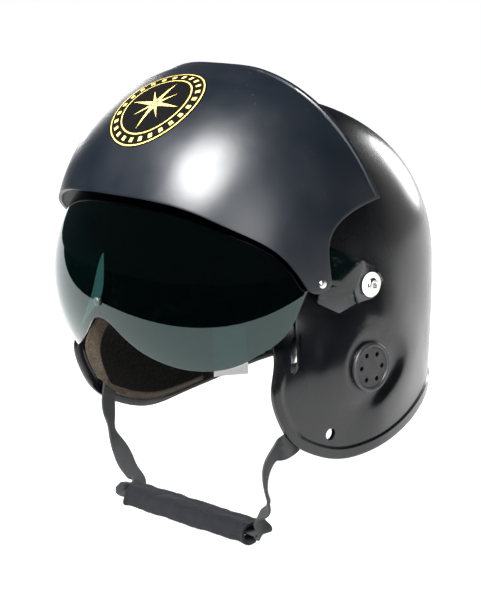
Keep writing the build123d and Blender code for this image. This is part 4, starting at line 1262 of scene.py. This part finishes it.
def make_tag(material):
    """Blank white woven tag sewn to the neck pad, standing slightly away from it at one corner."""
    def place(u, v):
        y, z = TAG_Y + TAG_WIDTH * u, TAG_LOW + TAG_HEIGHT * v
        lift = 0.8 + 1.6 * (1 - v) * np.abs(u - 0.4)
        return np.column_stack([-side_at(y, z, PAD_FACE + PAD_THICKNESS + lift), y, z])

    tag = sheet_of("care_tag_form", 16, 20, place)
    modify(tag, "SOLIDIFY", thickness=TAG_THICKNESS * MM, offset=0)
    edit(tag, lambda: bpy.ops.mesh.normals_make_consistent(inside=False))
    smooth(tag, 40)
    finish_piece(tag, "helmet", "tag", "care_tag", materials=[material])


# Chin straps and sleeve

STRAP_WIDTH, STRAP_WALL, WEB_THICKNESS, STRAP_STANDOFF, STRAP_CUP = 15.0, 1.6, 1.5, 1.2, 0.35
STRAP_END_ABOVE, STRAP_RIVET_HEAD, STRAP_LAYER = 9.0, 3.6, 1.9
SLEEVE_TURN, SLEEVE_DIP = math.radians(16), math.radians(7)
SLEEVE_ALONG = np.array([
    math.cos(SLEEVE_TURN) * math.cos(SLEEVE_DIP),
    math.sin(SLEEVE_TURN) * math.cos(SLEEVE_DIP),
    -math.sin(SLEEVE_DIP),
])
SLEEVE_ACROSS = np.array([-math.sin(SLEEVE_TURN), math.cos(SLEEVE_TURN), 0])
SLEEVE_UP = np.cross(SLEEVE_ALONG, SLEEVE_ACROSS)
SLEEVE_MIDDLE = np.array([0, -53.0, -175.0])
SLEEVE_LENGTH, SLEEVE_HALF_WIDTH, SLEEVE_HALF_HEIGHT, SLEEVE_ROUNDNESS = 104.0, 12.0, 7.5, 3.2
SLEEVE_CLOTH, SLEEVE_LAP, SLEEVE_PILE = 2.4, 0.9, 1.6

# Bends of each strap, as shares of the way in to the sleeve, of the fall forwards and of the fall
# down, each with the lean of its face
LEFT_BENDS = [
    (0.02, 0.0, 0.08, -11), (0.06, -0.018, 0.17, -15), (0.07, -0.11, 0.22, -10), (0.11, -0.2, 0.29, 10),
    (0.2, -0.2, 0.4, 30), (0.34, -0.13, 0.58, 48), (0.57, -0.02, 0.76, 50), (0.8, 0.02, 0.88, 34),
]
RIGHT_BENDS = [
    (0.02, 0.0, 0.08, -11), (0.06, -0.04, 0.26, -16), (0.085, -0.037, 0.42, -26), (0.14, -0.043, 0.53, -40),
    (0.26, -0.04, 0.64, -20), (0.45, -0.064, 0.75, 0), (0.65, -0.095, 0.84, -5), (0.86, -0.137, 0.94, -10),
]


def strap_route(side, bends):
    """Middle points of one strap and the way across at each, from its anchor into the sleeve."""
    before, at_rivet, behind = (
        side_at(ANCHOR_Y + shift, ANCHOR_LEVEL, SHELL_WALL) for shift in (-STRAP_WIDTH, 0, STRAP_WIDTH)
    )
    slope = (behind - before) / (2 * STRAP_WIDTH)
    normal = np.array([1, -slope, 0]) / math.hypot(1, slope)
    across = np.array([slope, 1, 0]) / math.hypot(1, slope)
    flip = np.array([side, 1, 1])
    anchor = np.array([at_rivet, ANCHOR_Y, ANCHOR_LEVEL]) - normal * (STRAP_STANDOFF + STRAP_WALL / 2)
    anchor = anchor * flip
    entry = SLEEVE_MIDDLE + SLEEVE_ALONG * side * SLEEVE_LENGTH / 2 + SLEEVE_UP * side * STRAP_LAYER / 2
    fall = anchor[2] - entry[2]
    middles = [anchor + np.array([0, 0, STRAP_END_ABOVE]), anchor - np.array([0, 0, STRAP_RIVET_HEAD])]
    ways = [across * flip] * 2
    for x_share, y_share, z_share, lean in bends:
        way_in = (entry[0] - anchor[0]) * x_share
        middles.append(anchor + np.array([way_in, fall * y_share, -fall * z_share]))
        way = math.radians(lean)
        ways.append(np.array([-side * math.sin(way), math.cos(way), 0]))
    for along in (6.0, 0.0, -60.0):
        middles.append(entry + SLEEVE_ALONG * side * along)
        ways.append(SLEEVE_ACROSS)
    return np.array(middles), np.array(ways)


def make_strap(side, name, bends, material):
    """One length of webbing, slightly cupped, from its rivet into the sleeve."""
    middles, ways = strap_route(side, bends)
    rows = 160
    route = smooth_path(np.column_stack([middles, ways * 20]))(np.linspace(0, 1, rows + 1))
    centre, way = route[:, :3], route[:, 3:]
    along = np.gradient(centre, axis=0)
    along /= np.linalg.norm(along, axis=1)[:, None]
    way -= along * (way * along).sum(1)[:, None]
    way /= np.linalg.norm(way, axis=1)[:, None]
    normal = np.cross(along, way)

    def place(u, v):
        k = np.rint(v * rows).astype(int)
        aside = (u - 0.5) * STRAP_WIDTH
        cup = STRAP_CUP * (1 - (2 * u - 1) ** 2) * np.sin(v * 9)
        return centre[k] + way[k] * aside[:, None] + normal[k] * cup[:, None]

    strap = sheet_of(name + "_form", 10, rows, place)
    modify(strap, "SOLIDIFY", thickness=WEB_THICKNESS * MM, offset=0)
    edit(strap, lambda: bpy.ops.mesh.normals_make_consistent(inside=False))
    round_edges(strap, 0.45, 2, 50)
    smooth(strap, 50)
    finish_piece(strap, "helmet", "webbing", name, materials=[material])


def make_sleeve(material):
    """Soft sleeve: a sheet rolled round the straps, open along its under side and at its ends."""
    half_w, half_h = SLEEVE_HALF_WIDTH - 1.3, SLEEVE_HALF_HEIGHT - 1.3
    turn = np.linspace(0, 2 * math.pi, 241)
    c, s = np.cos(turn - QUARTER_TURN + 0.35), np.sin(turn - QUARTER_TURN + 0.35)
    power = 2 / SLEEVE_ROUNDNESS
    ring = np.stack([size * np.sign(k) * np.abs(k) ** power for size, k in ((half_w, c), (half_h, s))], -1)

    def place(u, v):
        flat = evenly(ring, 0.015 + 0.97 * u)
        swell = 1 + 0.05 * np.sin(v * math.pi) + 0.025 * np.sin(v * 21 + u * 5) * np.sin(u * 9)
        flare = 1 + 0.10 * (ease(v, 0.93, 1.0) + ease(1 - v, 0.94, 1.0))
        frayed = 1.2 * np.sin(u * 13 + v * 3) - np.sign(v - 0.5)
        ends = (v - 0.5) * SLEEVE_LENGTH + np.where(np.abs(v - 0.5) > 0.47, frayed, 0)
        lap = SLEEVE_LAP * ease(u, 0.9, 1.0) - 0.4 * ease(1 - u, 0.92, 1.0)
        places = (ends, flat[:, 0] * swell * flare * 0.985, flat[:, 1] * swell * flare - lap)
        ways = (SLEEVE_ALONG, SLEEVE_ACROSS, SLEEVE_UP)
        return SLEEVE_MIDDLE + sum(amount[:, None] * way for amount, way in zip(places, ways))

    sleeve = sheet_of("chin_sleeve_form", 64, 90, place)
    edit(sleeve, lambda: bpy.ops.mesh.normals_make_consistent(inside=False))
    modify(sleeve, "SOLIDIFY", thickness=SLEEVE_CLOTH * MM, offset=0)
    round_edges(sleeve, 0.9, 3, 50)
    pile = bpy.data.textures.new("sleeve_pile", "CLOUDS")
    pile.noise_scale = 0.009
    pile_height = SLEEVE_PILE * MM
    modify(sleeve, "DISPLACE", texture=pile, texture_coords="LOCAL", strength=pile_height, mid_level=0.5)
    smooth(sleeve, 50)
    finish_piece(sleeve, "helmet", "sleeve", "chin_sleeve", materials=[material])


# Lamps, finishes and pieces, in order

add_camera()
set_world()
lamps = [
    add_lamp("key_lamp", 10, 46, 1.6, 1.05, 135),
    add_lamp("soft_lamp", 62, 10, 1.7, 1.2, 18),
    add_lamp("back_lamp", 191, 14, 1.8, 0.7, 14),
    add_lamp("rim_lamp", -112, 12, 1.8, 0.5, 6),
]
add_floor(cad_bounds[0].z - 0.001)

shell_paint = satin_paint("shell_satin", (0.0012, 0.0014, 0.002), (0.003, 0.0034, 0.0044), 0.25, 0.3)
cover_paint = satin_paint("cover_satin", (0.0026, 0.0040, 0.0064), (0.0048, 0.0066, 0.0098), 0.36, 0.9)
# The pads' khaki foam faces are painted near black, as painted shade inside the helmet; the cut edges keep
# the foam's khaki
khaki_foam_painted_shade = foam("khaki_foam_painted_shade", (0.0001, 0.0001, 0.0001), (0.004, 0.0037, 0.0028), 700)
cut_foam = foam("cut_foam_edge", (0.012, 0.0095, 0.0065), (0.06, 0.048, 0.034), 900)
black_lining = foam("black_lining", (0.0003, 0.0003, 0.0003), (0.002, 0.002, 0.002), 600)
black_webbing = woven("black_webbing", (0.003, 0.003, 0.003), (0.022, 0.023, 0.026), 150, 14)
white_tape = woven("white_tag_tape", (0.55, 0.55, 0.53), (0.8, 0.8, 0.78), 30, 30)

make_shell(shell_paint)
make_cover(cover_paint)
make_emblem(emblem_print())
make_lens(lens_glass())
make_small_parts()
for side, name in ((1, "left_ear_pad"), (-1, "right_ear_pad")):
    make_ear_pad(side, name, [khaki_foam_painted_shade, cut_foam])
make_neck_pad([khaki_foam_painted_shade, cut_foam])
make_crown_lining([black_lining, black_lining])
make_tag(white_tape)
make_strap(1, "left_chin_strap", LEFT_BENDS, black_webbing)
make_strap(-1, "right_chin_strap", RIGHT_BENDS, black_webbing)
make_sleeve(fuzzy_cloth())

# The lamps' own mirror images are kept out of the polished lens
lit = bpy.data.collections.new("lit_by_lamps")
for piece in bpy.context.scene.objects:
    if piece.type == "MESH" and not piece.name.startswith("tinted_lens"):
        lit.objects.link(piece)
for lamp in lamps:
    lamp.light_linking.receiver_collection = lit

bpy.context.scene.view_settings.view_transform = "Standard"
